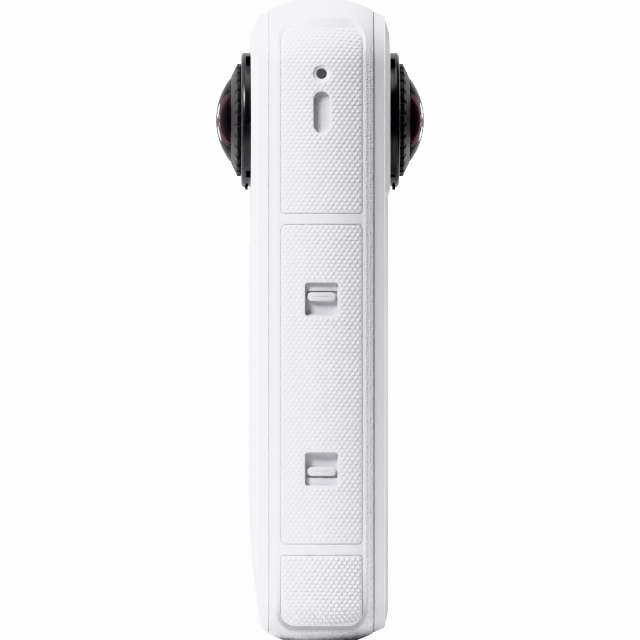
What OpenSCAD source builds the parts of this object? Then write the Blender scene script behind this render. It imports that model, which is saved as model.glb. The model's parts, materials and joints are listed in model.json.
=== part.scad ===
// Pocket 360 degree camera with a fisheye lens on each face.
// x runs through the thickness: the front lens looks along -x and the screen faces +x.
// y runs across the width: the battery side is -y and the port side is +y.
// z is up, and the camera stands on z = 0.

/* [Body] */
// Height of the body
body_h = 113.8; // [111:0.2:118]
// Width across the crowned sides
body_w = 46; // [45.4:0.2:49]
// Radius of the crown across the frame band
crown_r = 20; // [19:0.5:24]
// Corner radius of the outline at the top
top_corner_r = 12; // [11:0.5:13]
// Corner radius of the outline at the bottom
bottom_corner_r = 8; // [7.8:0.1:9]
// Depth of the flat cut across the crowned underside
foot_cut = 0.9; // [0.6:0.1:1.1]
// Middle plane to the front parting line
frame_front = 9.2; // [9.1:0.1:9.6]
// Middle plane to the rear parting line
frame_rear = 9.2; // [9:0.1:9.6]
// Wall of the frame band under its crown
frame_wall = 3.8; // [3.7:0.1:4.2]

/* [Shells] */
// Middle plane to the front face
front_face = 12.3; // [12.2:0.1:12.8]
// Middle plane to the rear face round the lens
rear_face = 12.2; // [12.1:0.1:12.7]
// Step down from the rear face to the screen
screen_step = 0.45; // [0.2:0.05:0.6]
// Lens axis down to that step
step_drop = 14.8; // [13.4:0.1:15.6]
// Wall of the shells behind their faces
shell_wall = 1.3; // [1.2:0.1:1.5]
// How far the shells' edges sit inside the frame's edges
shell_lip = 0.12; // [0:0.02:0.3]
// Front parting line to the crease of the front shell
front_side_h = 1.5; // [1.2:0.1:1.8]
// Rear parting line to the crease of the rear shell
rear_side_h = 1.8; // [1.5:0.1:2]
// Lean of the shells' side walls
side_lean = 0.75; // [0.4:0.05:0.9]
// Width of the bevel round each face
bevel_w = 3.3; // [2.8:0.1:3.5]
// Blend from the bevel into the face
bevel_round = 3; // [2:0.5:4]
// Width of the shells' rims
rim_w = 3.6; // [3.5:0.1:3.9]
// Height above which the front face is straight
toe_start = 30; // [26:1:34]
// Radius of the front face's curve below that height
toe_r = 200; // [180:10:260]

/* [Front grip] */
// Width of the raised front grip
front_grip_w = 30.4; // [26:0.2:31]
// Lower edge of the front grip
front_grip_z = 10; // [9:0.5:14]
// Lens axis down to the top of the front grip
front_grip_drop = 21.8; // [21:0.1:25]
// Corner radius of the front grip
front_grip_r = 3; // [1:0.5:5]
// Thickness of the front grip
front_grip_t = 0.8; // [0.6:0.1:0.9]
// How far the front grip stands proud of the face
front_grip_proud = 0.22; // [0.1:0.02:0.3]

/* [Side recess] */
// Width of the recess along each side
zone_w = 14.5; // [14.2:0.1:15]
// Lower end of the recess
zone_bottom = 2.6; // [2.2:0.1:3.4]
// Distance from the top of the body to the upper end of the recess
zone_top_gap = 5.4; // [4.8:0.1:6.4]
// Corner radius of the recess
zone_corner_r = 2.6; // [1:0.1:3.4]
// Depth of the recess
zone_depth = 0.35; // [0.25:0.05:0.45]
// Thickness of the grips and doors in the recess
panel_t = 1; // [0.9:0.05:1.1]
// Gap round the grips and doors
panel_gap = 0.12; // [0.08:0.02:0.2]
// Height of the plain bridges between grips and doors
bridge_h = 1.95; // [1.5:0.05:2.4]

/* [Battery] */
// Lower end of the battery cover
door_z = 17.2; // [16.4:0.1:18]
// Lens axis down to the top of the battery cover
door_drop = 18.9; // [18.2:0.1:20]
// Corner radius of the battery cover
door_corner_r = 0.9; // [0.4:0.1:1.4]
// Thickness of the battery pack
pack_t = 12.5; // [12:0.1:12.7]
// Middle plane to the inner end of the battery pack
pack_back = 3; // [1:0.1:3.4]
// How far the pack stops short of each end of its cover
pack_end = 1.7; // [1.6:0.05:2.1]
// Play of the pack in its bay
pack_play = 0.25; // [0.15:0.05:0.35]
// Wall of the battery bay
bay_wall = 1; // [0.8:0.05:1.05]
// Thickness of the rubber seal under the cover
seal_t = 0.22; // [0.15:0.01:0.26]

/* [Latches] */
// Middle of the battery cover to the middle of each latch recess
latch_offset = 14.95; // [14:0.05:16]
// Side of the square finger recess
latch_recess = 6; // [5.9:0.1:6.6]
// Corner radius of the finger recess
latch_recess_r = 0.6; // [0.3:0.1:1]
// Depth of the finger recess
latch_recess_depth = 0.5; // [0.3:0.05:0.6]
// Width of the window that the nub moves in
window_w = 5.55; // [5.4:0.05:5.7]
// Height of that window
window_h = 4.15; // [4.1:0.05:4.3]
// Outer edge of the recess to the outer end of the window
window_shift = 1.5; // [1.4:0.05:1.6]
// Width of the nub
nub_w = 5.05; // [4.6:0.05:5.2]
// Height of the nub
nub_h = 1.6; // [1.4:0.05:1.7]
// Gap from the nub to the outer end of its window
nub_gap = 0.25; // [0.15:0.05:0.3]
// How far a latch slides
latch_travel = 2.1; // [1.8:0.05:2.15]
// Width of the bar that locks the cover's end
bar_w = 4; // [3:0.1:4.6]
// Outer diameter of the latch springs
spring_d = 1.5; // [1.2:0.1:1.7]
// Length of the latch springs
spring_len = 5.8; // [4.5:0.1:6.4]

/* [Lenses] */
// Top of the body down to the lens axis
lens_drop = 21.5; // [21:0.1:22.4]
// Middle plane to the top of each dome
dome_reach = 18.5; // [18.2:0.1:19]
// Radius of curvature of the domes
dome_r = 12.1; // [11.6:0.1:12.8]
// Radius of the visible edge of the domes
dome_edge_r = 7.4; // [7.2:0.05:7.5]
// Thickness of the dome glass on its axis
dome_t = 1.4; // [1.1:0.1:1.6]
// Radius of the hollow under a dome
dome_hollow_r = 5.4; // [5:0.1:6]
// Outer radius of the lens rings
ring_r = 10; // [9.6:0.1:10.6]
// Height of the straight rim of the lens rings
ring_rim_h = 0.65; // [0.4:0.05:0.8]
// Number of scallops round a lens ring
scallops = 30; // [18:1:40]
// Radius of a scallop
scallop_r = 0.5; // [0.3:0.05:0.7]
// Outer radius of the lens bases
base_r = 12; // [11.6:0.1:12.4]
// Middle plane to the front of the lens bases
base_front = 14; // [13.9:0.05:14.3]
// Thickness of the flange of a lens base
flange_t = 0.85; // [0.75:0.05:1]
// Rounding of the flange's front edge
flange_round = 0.7; // [0.2:0.05:0.7]
// Depth of the groove behind the flange
groove_depth = 1.2; // [0.8:0.1:1.3]
// Angle that each of the three lugs of a lens base spans
lug_span = 46; // [30:1:60]
// Angle that a lens ring turns to come off
ring_turn = 40; // [36:1:46]
// Radius of the lens barrels
barrel_r = 8.1; // [7.8:0.05:8.15]

/* [Sound] */
// Top of the body down to the microphones
mic_drop = 13.8; // [13:0.1:14.6]
// Radius of the microphone openings
mic_r = 0.93; // [0.7:0.01:1.1]
// Radius of the shallow dish round a microphone opening
mic_dish_r = 1.55; // [1.3:0.05:1.8]
// Depth of that dish
mic_dish_depth = 0.3; // [0.15:0.05:0.4]
// Top of the body down to the middle of the speaker slot
slot_drop = 20.6; // [20.2:0.1:21.2]
// Width of the speaker slot
slot_w = 2.95; // [2.4:0.05:3.4]
// Length of the speaker slot
slot_h = 7.45; // [6.6:0.05:8]
// Depth of the speaker mesh under the grip
slot_depth = 1.1; // [0.9:0.1:1.6]

/* [Screen and buttons] */
// Width of the screen glass
glass_w = 31; // [28:0.2:31.4]
// Lower edge of the screen glass
glass_z = 22.5; // [22:0.5:25]
// Lens axis down to the top of the screen glass
glass_drop = 17.3; // [16.6:0.1:19]
// Corner radius of the screen glass
glass_r = 2.5; // [1.5:0.1:4]
// Thickness of the screen glass
glass_t = 0.8; // [0.7:0.05:0.9]
// Thickness of the display panel
display_t = 1.5; // [1.2:0.1:1.6]
// Height of the buttons under the screen
rear_button_z = 14.3; // [14:0.1:15]
// Middle of the body to each of those buttons
rear_button_y = 8; // [7:0.5:9]
// Radius of those buttons
rear_button_r = 4.2; // [3.6:0.1:4.4]
// Distance between the two buttons on the port side
key_pitch = 11; // [10:0.1:11.4]
// Width of the side buttons
side_button_w = 4; // [3.4:0.1:4.6]
// Length of the side buttons
side_button_h = 8.5; // [7.5:0.1:9]
// How far every button travels
button_travel = 0.35; // [0.25:0.05:0.4]
// How far the buttons stand proud of what surrounds them
button_proud = 0.25; // [0.1:0.05:0.3]

/* [Port] */
// Lower end of the port door
port_door_z = 26; // [25:0.5:27]
// Height of the port door
port_door_h = 28; // [26:0.5:29]
// Radius of the hinge knuckles
knuckle_r = 0.9; // [0.8:0.02:0.95]
// Radius of the hinge pin
pin_r = 0.35; // [0.3:0.01:0.45]
// Length of the frame's hinge lugs
lug_len = 1.8; // [1.4:0.1:2.4]
// Width of the recess round the port
port_recess_w = 8.2; // [7.6:0.1:8.6]
// Height of the recess round the port
port_recess_h = 14.2; // [13:0.1:15]
// Height of the middle of the port
port_z = 40; // [39.5:0.1:40.5]

/* [Tripod thread] */
// Bore radius of the threaded insert, for a quarter-inch screw
tripod_r = 3.2; // [3.18:0.01:3.3]
// Outer radius of the threaded insert
insert_r = 4.6; // [4.2:0.1:5.2]
// Length of the threaded insert
insert_len = 8.5; // [7.5:0.1:9.5]
// Depth of the thread
thread_depth = 7; // [6:0.1:7.2]

/* [Hidden] */
$fn = 64;

// Small fits that many pieces share
seat_gap = 0.05;
run_gap = 0.15;
past = 1;
far = 60;

// Outline of the body, seen along x
half_w = body_w / 2;
mid_top = half_w - top_corner_r;
mid_bottom = half_w - bottom_corner_r;
corner_top = body_h - top_corner_r;
corner_bottom = bottom_corner_r - foot_cut;
inner_y = half_w - frame_wall;
floor_z = frame_wall - foot_cut;
lens_z = body_h - lens_drop;
mic_z = body_h - mic_drop;
slot_z = body_h - slot_drop;
crown_y = half_w - crown_r;
function crown_drop(x) = crown_r - sqrt(crown_r * crown_r - x * x);
function side_y(x, depth) = crown_y + sqrt(pow(crown_r - depth, 2) - x * x);

// Shells
edge_depth = bottom_corner_r - 0.2;
core_inset = bottom_corner_r - 0.5;
front_inner = front_face - shell_wall;
screen_face = rear_face - screen_step;
rear_inner = screen_face - shell_wall;
screen_step_z = lens_z - step_drop;
front_grip_top = lens_z - front_grip_drop;
toe_steps = 14;

// Shell screws run along x through posts in the frame's corners
post_inset = 4.8;
post_r = 1.9;
screw_r = 0.8;
screw_head_r = 1.3;
screw_head_h = 1.1;
screw_bite = 1.4;
top_post = (top_corner_r - post_inset) * cos(45);
bottom_post = (bottom_corner_r - post_inset) * cos(45);
POSTS = [
  [mid_top + top_post, corner_top + top_post],
  [mid_bottom + bottom_post, corner_bottom - bottom_post]
];

// Seals between the frame and the shells
shell_seal_inset = 2.75;
shell_seal_w = 0.6;
shell_seal_h = 0.4;

// Side recess and its panels
zone_half = zone_w / 2;
zone_top = body_h - zone_top_gap;
panel_back = zone_depth + panel_t;
door_top = lens_z - door_drop;
door_mid = (door_z + door_top) / 2;
port_door_top = port_door_z + port_door_h;
panel_corner_r = 0.5;
run_out_dip = 4;

// Battery bay
pack_half = pack_t / 2;
pack_bottom = door_z + pack_end;
pack_top = door_top - pack_end;
pack_front = inner_y;
pack_depth = pack_front + pack_back;
bay_half = pack_half + pack_play;
bay_bottom = pack_bottom - pack_play;
bay_top = pack_top + pack_play;
bay_back = pack_back + 0.4;
bay_outer = bay_half + bay_wall;
ledge_depth = panel_back + seal_t + 2 * seat_gap;
contact_w = 8;
contact_h = 6;
contact_z = pack_top - 2 * contact_h;
contact_lip = 0.8;
terminals = 4;
terminal_w = 1.3;
terminal_t = 0.25;

// Latches, drawn for the upper one and mirrored for the lower
latch_z = door_mid + latch_offset;
window_top = latch_z + latch_recess / 2 - window_shift;
window_bottom = window_top - window_h;
nub_z = window_top - nub_gap - nub_h / 2;
plate_half = window_w / 2 + 0.35;
plate_bottom = window_bottom - 0.6;
plate_top = window_top + latch_travel + 0.4;
bar_top = door_top - 0.2;
channel_roof = side_y(plate_half + run_gap, panel_back) - 0.05;
channel_end = plate_bottom - spring_len - seat_gap;
latch_front = channel_roof - 0.1;
latch_back = pack_front + 0.1;
nub_sink = 0.4;

// Lens units, drawn with the optical axis along z and the middle plane at z = 0
spigot_r = base_r - 1.7;
groove_r = base_r - groove_depth;
spigot_len = 2.4;
seat_r = barrel_r + 0.1;
skirt_r = barrel_r + 0.5;
bore_r = skirt_r + 0.1;
skirt_inner_r = dome_edge_r + 0.2;
ring_back = base_front + seat_gap;
lip_front = ring_back + ring_rim_h + 1.2;
lip_back = ring_back + ring_rim_h + 0.6;
rim_back = ring_back + 0.45;
dome_rim_r = dome_edge_r + 0.5;
dome_mid = dome_reach - dome_r;
hook_r = skirt_r + 0.7;
hook_back = base_front - 1.7;
hook_h = 0.7;
hook_span = 34;
hook_play = 0.1;
bracket_half = 0.9;
sensor_board_t = 0.8;
sensor_board_w = 2 * base_r + 1;
sensor_w = 8;
sensor_h = 10;
sensor_t = 1.1;
sensor_front = bracket_half + seat_gap + sensor_board_t;
barrel_back = sensor_front + seat_gap;
barrel_neck_z = base_front - 3.7;
barrel_front = base_front - 1.1;
inner_lens_r = 5.9;
inner_lens_back = barrel_front - 2.2;
lug_middles = [3, 123, 243];
lug_root_r = (spigot_r + groove_r) / 2;
lug_front = base_front - flange_t + 2 * seat_gap;
tab_angle = 180;
tab_span = 22;
tab_t = 0.55;
tab_r = base_r + 0.5;
stop_r = base_r - 0.2;
stop_span = 60;

// Boards and keys
board_t = 0.8;
board_standoff = 0.7;
main_board_front = bay_outer + board_standoff + board_t;
main_board_half = inner_y - 3.2;
main_board_bottom = pack_bottom - 5.9;
main_board_top = door_top + 3.6;
shield_front = main_board_front + 1.5;
shield_half = main_board_half - 5;
shield_bottom = main_board_bottom + 19;
shield_top = main_board_top - 9;
spreader_edge = 2;
keys_mid = (door_top + mic_z) / 2;
power_z = keys_mid + key_pitch / 2;
quick_z = keys_mid - key_pitch / 2;
key_board_edge = 0.8;
flange_w = 0.7;
key_flange_t = 0.8;
switch_h = 0.7;
rear_flange_back = rear_inner - run_gap - key_flange_t;
rear_switch_front = rear_flange_back - button_travel - seat_gap;
rear_board_front = rear_switch_front - switch_h;
side_flange_back = inner_y - run_gap - key_flange_t;
side_switch_front = side_flange_back - button_travel - seat_gap;
side_board_front = side_switch_front - switch_h;
side_board_back = side_board_front - board_t;
deep_layer = half_w - side_flange_back + seat_gap;
switch_w = 3;
rear_board_half = rear_button_y + rear_button_r + key_board_edge;
side_board_half = side_button_h / 2 + key_board_edge;
glass_ledge = 0.9;
glass_top = lens_z - glass_drop;
display_front = screen_face - glass_t - seat_gap;

// Port door hinge and port
hinge_x = zone_half - panel_gap - 0.15 - knuckle_r;
hinge_y = side_y(hinge_x, zone_depth) - knuckle_r - 0.05;
knuckle_gap = 0.12;
pin_fit = 0.02;
port_floor = inner_y + 0.8;
usb_w = 3.26;
usb_h = 8.94;
usb_len = 7.2;
usb_shell_t = 0.3;
usb_front = port_floor - 0.1;
port_board_x = -usb_w / 2 - seat_gap;
card_t = 1.4;
card_h = 14;
card_z = port_z - usb_h / 2 - card_h / 2 - 2;
card_len = inner_y - bay_back - bay_wall - 0.9;
port_board_bottom = card_z - card_h / 2 - 1;
port_board_top = port_z + usb_h / 2 + 1.5;
rib_bottom = contact_z + contact_h + contact_lip + 0.5;

// Points along an arc
function arc_points(middle, r, from, to, steps) = [
  for (i = [0 : steps])
    let (a = from + (to - from) * i / steps)
    middle + r * [cos(a), sin(a)]
];

// Stands up what is drawn flat: x across, y up and z through the thickness
module stand() {
  rotate([90, 0, 90])
    children();
}

// Rectangle from one corner to the other, with its own radius at the bottom and at the top
module round_rect(low, high, bottom_r, top_r) {
  polygon([
    [low.x + bottom_r, low.y], [high.x - bottom_r, low.y],
    [high.x, low.y + bottom_r], [high.x, high.y - top_r],
    [high.x - top_r, high.y], [low.x + top_r, high.y],
    [low.x, high.y - top_r], [low.x, low.y + bottom_r]
  ]);
  for (x = [low.x + bottom_r, high.x - bottom_r])
    translate([x, low.y + bottom_r])
      circle(bottom_r);
  for (x = [low.x + top_r, high.x - top_r])
    translate([x, high.y - top_r])
      circle(top_r);
}

// Slot with round ends, standing on end
module stadium(w, h) {
  square([w, h - w], center = true);
  for (end = [-1, 1])
    translate([0, end * (h - w) / 2])
      circle(w / 2);
}

// Body outline, inset
module outline(inset) {
  round_rect([inset - half_w, inset - foot_cut], [half_w - inset, body_h - inset],
    bottom_corner_r - inset, top_corner_r - inset);
}

// Part of an edge section, drawn with the outline at x = 0, that lies between two planes
module edge_cut(r, low, high, depth) {
  intersection() {
    translate([r, 0])
      children();
    translate([r - depth, low])
      square([depth + 2, high - low]);
  }
}

module edge_run(len, r, low, high, depth) {
  rotate([90, 0, 0])
    linear_extrude(len)
      edge_cut(r, low, high, depth)
        children();
}

module edge_bend(r, low, high, depth) {
  rotate_extrude(angle = 90)
    edge_cut(r, low, high, depth)
      children();
}

// One side of the outline with its two corners
module edge_side(low, high, depth) {
  translate([mid_top, corner_top, 0]) {
    edge_run(corner_top - corner_bottom, top_corner_r, low, high, depth)
      children();
    edge_bend(top_corner_r, low, high, depth)
      children();
  }
  translate([mid_bottom, corner_bottom, 0])
    rotate([0, 0, -90])
      edge_bend(bottom_corner_r, low, high, depth)
        children();
}

// Carries an edge section all round the outline
module carried_round(low, high, depth) {
  for (side = [0, 1])
    mirror([side, 0, 0])
      edge_side(low, high, depth)
        children();
  translate([-mid_top, corner_top, 0])
    rotate([0, 0, 90])
      edge_run(2 * mid_top, top_corner_r, low, high, depth)
        children();
  translate([mid_bottom, corner_bottom, 0])
    rotate([0, 0, -90])
      edge_run(2 * mid_bottom, bottom_corner_r, low, high, depth)
        children();
}

// Layer of the battery side between two depths under the crowned surface
module side_layer(outer, inner) {
  stand()
    mirror([1, 0, 0])
      edge_side(-zone_half - past, zone_half + past, inner + 2 * zone_half)
        translate([-crown_r, 0])
          difference() {
            circle(crown_r - outer);
            circle(crown_r - inner);
          }
}

// Prism that leaves the battery side square, from a distance off the middle
module side_prism(from) {
  translate([0, -from, 0])
    rotate([90, 0, 0])
      linear_extrude(far)
        children();
}

module port_side() {
  mirror([0, 1, 0])
    children();
}

// Turns a piece drawn for the upper latch into the lower one
module lower_end() {
  translate([0, 0, 2 * door_mid])
    mirror([0, 0, 1])
      children();
}

// Panel of the recess between two heights, with round corners
module panel(low, high, bottom_r, top_r) {
  intersection() {
    side_layer(zone_depth, panel_back);
    side_prism(0)
      round_rect([panel_gap - zone_half, low], [zone_half - panel_gap, high], bottom_r, top_r);
  }
}

// Pocket in the frame for a panel
module pocket(low, high, bottom_r, top_r, depth) {
  intersection() {
    side_layer(-past, depth);
    side_prism(0)
      round_rect([-zone_half, low], [zone_half, high], bottom_r, top_r);
  }
}

module upper_panel(low) {
  panel(low + panel_gap, zone_top - panel_gap, panel_corner_r, zone_corner_r - panel_gap);
}

module lower_panel(high) {
  panel(zone_bottom + panel_gap, high - panel_gap, zone_corner_r - panel_gap, panel_corner_r);
}

// Upper end of the recess: its floor goes on straight and runs out through the top corner
module run_out() {
  turn = asin((zone_top - corner_top) / (top_corner_r - zone_depth)) - run_out_dip;
  intersection() {
    stand()
      mirror([1, 0, 0])
        translate([mid_top, corner_top, 0])
          rotate([0, 0, turn])
            mirror([0, 1, 0])
              edge_run(zone_w, top_corner_r, -zone_half - past, zone_half + past, 2 * zone_half)
                translate([-crown_r, 0])
                  difference() {
                    circle(crown_r + past);
                    circle(crown_r - zone_depth);
                  }
    side_prism(0)
      round_rect([-zone_half, zone_top - zone_corner_r - past], [zone_half, body_h],
        panel_corner_r, zone_corner_r + past);
  }
}

// The recess with the pockets for a lower grip, a door and an upper grip
module side_pockets(door_low, door_high, door_depth) {
  grip_depth = panel_back + seat_gap;
  run_out();
  pocket(zone_bottom, zone_top, zone_corner_r, zone_corner_r, zone_depth);
  pocket(zone_bottom, door_low - bridge_h, zone_corner_r, panel_corner_r, grip_depth);
  pocket(door_high + bridge_h, zone_top, panel_corner_r, zone_corner_r, grip_depth);
  pocket(door_low - panel_gap, door_high + panel_gap, door_corner_r, door_corner_r, door_depth);
}

module microphone_bore(r) {
  side_prism(inner_y - past)
    translate([0, mic_z])
      circle(r);
}

module speaker_bore(w, h, from) {
  side_prism(from)
    translate([0, slot_z])
      stadium(w, h);
}

module side_button_bore(z, extra) {
  side_prism(inner_y - past)
    translate([0, z])
      stadium(side_button_w + extra, side_button_h + extra);
}

// Children at the four screw posts, with the screw's axis along x
module at_posts() {
  for (post = POSTS, side = [-1, 1])
    translate([0, side * post.x, post.y])
      rotate([0, 90, 0])
        children();
}

// Edge of the frame band: the crown, seen along the outline
module crown_edge() {
  translate([-crown_r, 0])
    circle(crown_r);
}

module seal_edge(parting, play) {
  translate([-shell_seal_inset - shell_seal_w - play, parting - shell_seal_h - play])
    square([shell_seal_w + 2 * play, shell_seal_h + past]);
}

module hinge_bar(r, low, high) {
  translate([hinge_x, hinge_y, low])
    cylinder(r = r, h = high - low);
}

module mid_frame() {
  color("white")
    difference() {
      union() {
        difference() {
          stand()
            carried_round(-frame_front, frame_rear, frame_wall)
              crown_edge();
          side_pockets(door_z, door_top, ledge_depth);
          port_side()
            side_pockets(port_door_z, port_door_top, panel_back + 2 * seat_gap);
        }
        intersection() {
          stand()
            translate([0, 0, -frame_front])
              linear_extrude(frame_front + frame_rear)
                outline(shell_seal_inset + shell_seal_w);
          translate([-frame_front, 0, 0])
            at_posts()
              cylinder(r = post_r, h = frame_front + frame_rear);
        }
        translate([0, 0, floor_z - past])
          cylinder(r = insert_r + 1.6, h = insert_len + past - floor_z + 1.2);
        for (low = [port_door_z, port_door_top - lug_len]) {
          hinge_bar(knuckle_r, low, low + lug_len);
          translate([hinge_x - knuckle_r, inner_y, low])
            cube([2 * knuckle_r, hinge_y - inner_y, lug_len]);
        }
      }
      translate([-far, -far, -2 * past])
        cube([2 * far, 2 * far, 2 * past]);
      side_prism(inner_y - past)
        round_rect([-bay_half, bay_bottom], [bay_half, bay_top], panel_corner_r, panel_corner_r);
      latch_notch();
      lower_end()
        latch_notch();
      microphone_bore(mic_r);
      port_side()
        microphone_bore(mic_r);
      speaker_bore(slot_w, slot_h, inner_y - past);
      port_side() {
        side_button_bore(power_z, 2 * run_gap);
        side_button_bore(quick_z, 2 * run_gap);
        side_prism(port_floor)
          round_rect([-port_recess_w / 2, port_z - port_recess_h / 2],
            [port_recess_w / 2, port_z + port_recess_h / 2], panel_corner_r, panel_corner_r);
        side_prism(inner_y - past)
          translate([0, port_z])
            stadium(usb_w + run_gap, usb_h + run_gap);
      }
      hinge_bar(knuckle_r + knuckle_gap, port_door_z + lug_len, port_door_top - lug_len);
      hinge_bar(pin_r + pin_fit, port_door_z + 0.5, port_door_top - 0.5);
      translate([0, 0, -past])
        cylinder(r = insert_r + seat_gap, h = insert_len + past + seat_gap);
      translate([-frame_front - past, 0, 0])
        at_posts()
          cylinder(r = screw_r + seat_gap, h = frame_front + frame_rear + 2 * past);
      translate([frame_rear - screw_head_h - seat_gap, 0, 0])
        at_posts()
          cylinder(r = screw_head_r + seat_gap, h = screw_head_h + past);
      stand() {
        carried_round(-far, far, frame_wall + past)
          seal_edge(frame_rear, seat_gap);
        mirror([0, 0, 1])
          carried_round(-far, far, frame_wall + past)
            seal_edge(frame_front, seat_gap);
      }
    }
}

// Way out for the end of a latch bar, open towards the battery side
module latch_notch() {
  side_prism(pack_front - past)
    translate([-bar_w / 2 - run_gap, bay_top - past])
      square([bar_w + 2 * run_gap, door_top + panel_gap - bay_top + past]);
}

module chassis() {
  mouth = inner_y - seat_gap;
  color("dimgray")
    difference() {
      union() {
        translate([-bay_outer, -mouth, bay_bottom - bay_wall])
          cube([2 * bay_outer, mouth + bay_back + bay_wall, bay_top - bay_bottom + 2 * bay_wall]);
        translate([-bracket_half, -side_board_back + seat_gap, bay_top])
          cube([2 * bracket_half, 2 * (side_board_back - seat_gap), lens_z + base_r - bay_top]);
        translate([-bracket_half, bay_back, rib_bottom])
          cube([2 * bracket_half, inner_y - seat_gap - bay_back, bay_top + bay_wall - rib_bottom]);
        for (y = [-inner_y / 2, 0], z = [pack_bottom + 5, pack_top - 5])
          translate([-bay_outer - board_standoff + seat_gap, y, z])
            rotate([0, 90, 0])
              cylinder(r = post_r, h = board_standoff + bay_wall / 2);
      }
      translate([-bay_half, -inner_y - past, bay_bottom])
        cube([2 * bay_half, inner_y + past + bay_back, bay_top - bay_bottom]);
      for (end = [0, 1])
        translate([0, 0, end * 2 * door_mid])
          mirror([0, 0, end])
            translate([-bar_w / 2 - run_gap, -inner_y - past, bay_top - past])
              cube([bar_w + 2 * run_gap, 2 * past, 2 * past + bay_wall]);
      translate([-contact_w / 2 - seat_gap, bay_back - past, contact_z - seat_gap])
        cube([contact_w + 2 * seat_gap, bay_wall + 2 * past, contact_h + 2 * seat_gap]);
      translate([port_board_x - board_t - card_t, bay_back - past, card_z - card_h / 2 + 1])
        cube([card_t, bay_wall + 2 * past, card_h - 2]);
      translate([0, 0, lens_z])
        rotate([0, 90, 0])
          cylinder(r = sensor_h / 2, h = 4 * bracket_half, center = true);
    }
}

// Section of a shell's edge: side wall, bevel and the blend into the face
module shell_edge(parting, side_h, face) {
  start = crown_drop(parting) + shell_lip;
  crease = [-start - side_lean, parting + side_h];
  slope = atan((face - crease.y) / bevel_w);
  blend_x = crease.x - bevel_w - bevel_round * tan(slope / 2);
  polygon(concat(
    [[-start, parting], crease],
    arc_points([blend_x, face - bevel_round], bevel_round, 90 - slope, 90, 5),
    [[-edge_depth - past, face], [-edge_depth - past, parting]]
  ));
}

// A shell from its parting line to its face, hollow behind
module shell_form(parting, side_h, face) {
  difference() {
    union() {
      carried_round(parting, face + past, edge_depth)
        shell_edge(parting, side_h, face);
      translate([0, 0, parting])
        linear_extrude(face - parting)
          outline(core_inset);
    }
    translate([-far, -far, parting - past])
      cube([2 * far, far, face]);
  }
}

module shell_hollow(parting, depth) {
  translate([0, 0, parting - past])
    linear_extrude(depth + past)
      outline(crown_drop(parting) + shell_lip + rim_w);
}

// Layer of the front between two depths behind the face, following its curve at the toe
function toe_x(z, depth) = depth - front_face + (z < toe_start ? pow(toe_start - z, 2) / (2 * toe_r) : 0);
function toe_curve(depth) = concat(
  [[toe_x(toe_start, depth), body_h + past]],
  [for (i = [0 : toe_steps]) let (z = toe_start * (1 - i / toe_steps)) [toe_x(z, depth), z]],
  [[toe_x(0, depth), -past]]
);
module front_layer(outer, inner) {
  far_side = toe_curve(inner);
  rotate([90, 0, 0])
    linear_extrude(2 * far, center = true)
      polygon(concat(toe_curve(outer), [for (i = [len(far_side) - 1 : -1 : 0]) far_side[i]]));
}

module front_grip_prism(extra) {
  stand()
    linear_extrude(2 * far, center = true)
      round_rect([-front_grip_w / 2 - extra, front_grip_z - extra],
        [front_grip_w / 2 + extra, front_grip_top + extra],
        front_grip_r + extra, front_grip_r + extra);
}

module at_lens(turn) {
  translate([0, 0, lens_z])
    rotate([0, 0, turn])
      rotate([0, -90, 0])
        children();
}

status_z = front_grip_top + 4.5;
status_r = 1;
module status_bore(r, back, front) {
  translate([-front, 0, status_z])
    rotate([0, 90, 0])
      cylinder(r = r, h = front - back);
}

module front_shell() {
  color("whitesmoke")
    difference() {
      stand()
        mirror([0, 0, 1])
          shell_form(frame_front, front_side_h, front_face);
      front_layer(-far / 2, 0);
      intersection() {
        stand()
          mirror([0, 0, 1])
            shell_hollow(frame_front, far);
        front_layer(shell_wall, front_face);
      }
      intersection() {
        front_layer(-past, front_grip_t - front_grip_proud + seat_gap);
        front_grip_prism(panel_gap);
      }
      at_lens(0)
        cylinder(r = spigot_r + run_gap, h = far);
      status_bore(status_r + seat_gap, front_inner - past, front_face + past);
      translate([-frame_front - screw_bite - seat_gap, 0, 0])
        at_posts()
          cylinder(r = screw_r + seat_gap, h = screw_bite + past);
    }
}

module rear_shell() {
  color("whitesmoke")
    difference() {
      stand()
        shell_form(frame_rear, rear_side_h, rear_face);
      translate([screen_face, -far, -past])
        rotate([90, 0, 0])
          mirror([0, 0, 1])
            linear_extrude(2 * far)
              polygon([
                [0, 0], [0, screen_step_z + past], [screen_step, screen_step_z + 2 * past],
                [far, screen_step_z + 2 * past], [far, 0]
              ]);
      stand()
        shell_hollow(frame_rear, rear_inner - frame_rear);
      at_lens(180)
        cylinder(r = spigot_r + run_gap, h = far);
      glass_prism(panel_gap, screen_face - glass_t - seat_gap);
      glass_prism(-glass_ledge, frame_rear);
      for (side = [-1, 1])
        at_rear_button(side)
          cylinder(r = rear_button_r + run_gap, h = far);
    }
}

module glass_prism(extra, from) {
  translate([from, 0, 0])
    stand()
      linear_extrude(far)
        round_rect([-glass_w / 2 - extra, glass_z - extra],
          [glass_w / 2 + extra, glass_top + extra], glass_r + extra, glass_r + extra);
}

module at_rear_button(side) {
  translate([0, side * rear_button_y, rear_button_z])
    rotate([0, 90, 0])
      children();
}

module front_shell_seal() {
  color("black")
    stand()
      mirror([0, 0, 1])
        carried_round(0, frame_front, frame_wall + past)
          seal_edge(frame_front, 0);
}

module rear_shell_seal() {
  color("black")
    stand()
      carried_round(0, frame_rear, frame_wall + past)
        seal_edge(frame_rear, 0);
}

module shell_screws() {
  color("silver")
    at_posts() {
      translate([0, 0, -frame_front - screw_bite])
        cylinder(r = screw_r, h = frame_front + frame_rear + screw_bite - screw_head_h);
      translate([0, 0, frame_rear - screw_head_h])
        cylinder(r = screw_head_r, h = screw_head_h - seat_gap);
    }
}

module front_grip() {
  color("white")
    intersection() {
      front_layer(-front_grip_proud, front_grip_t - front_grip_proud);
      front_grip_prism(0);
    }
}

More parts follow.
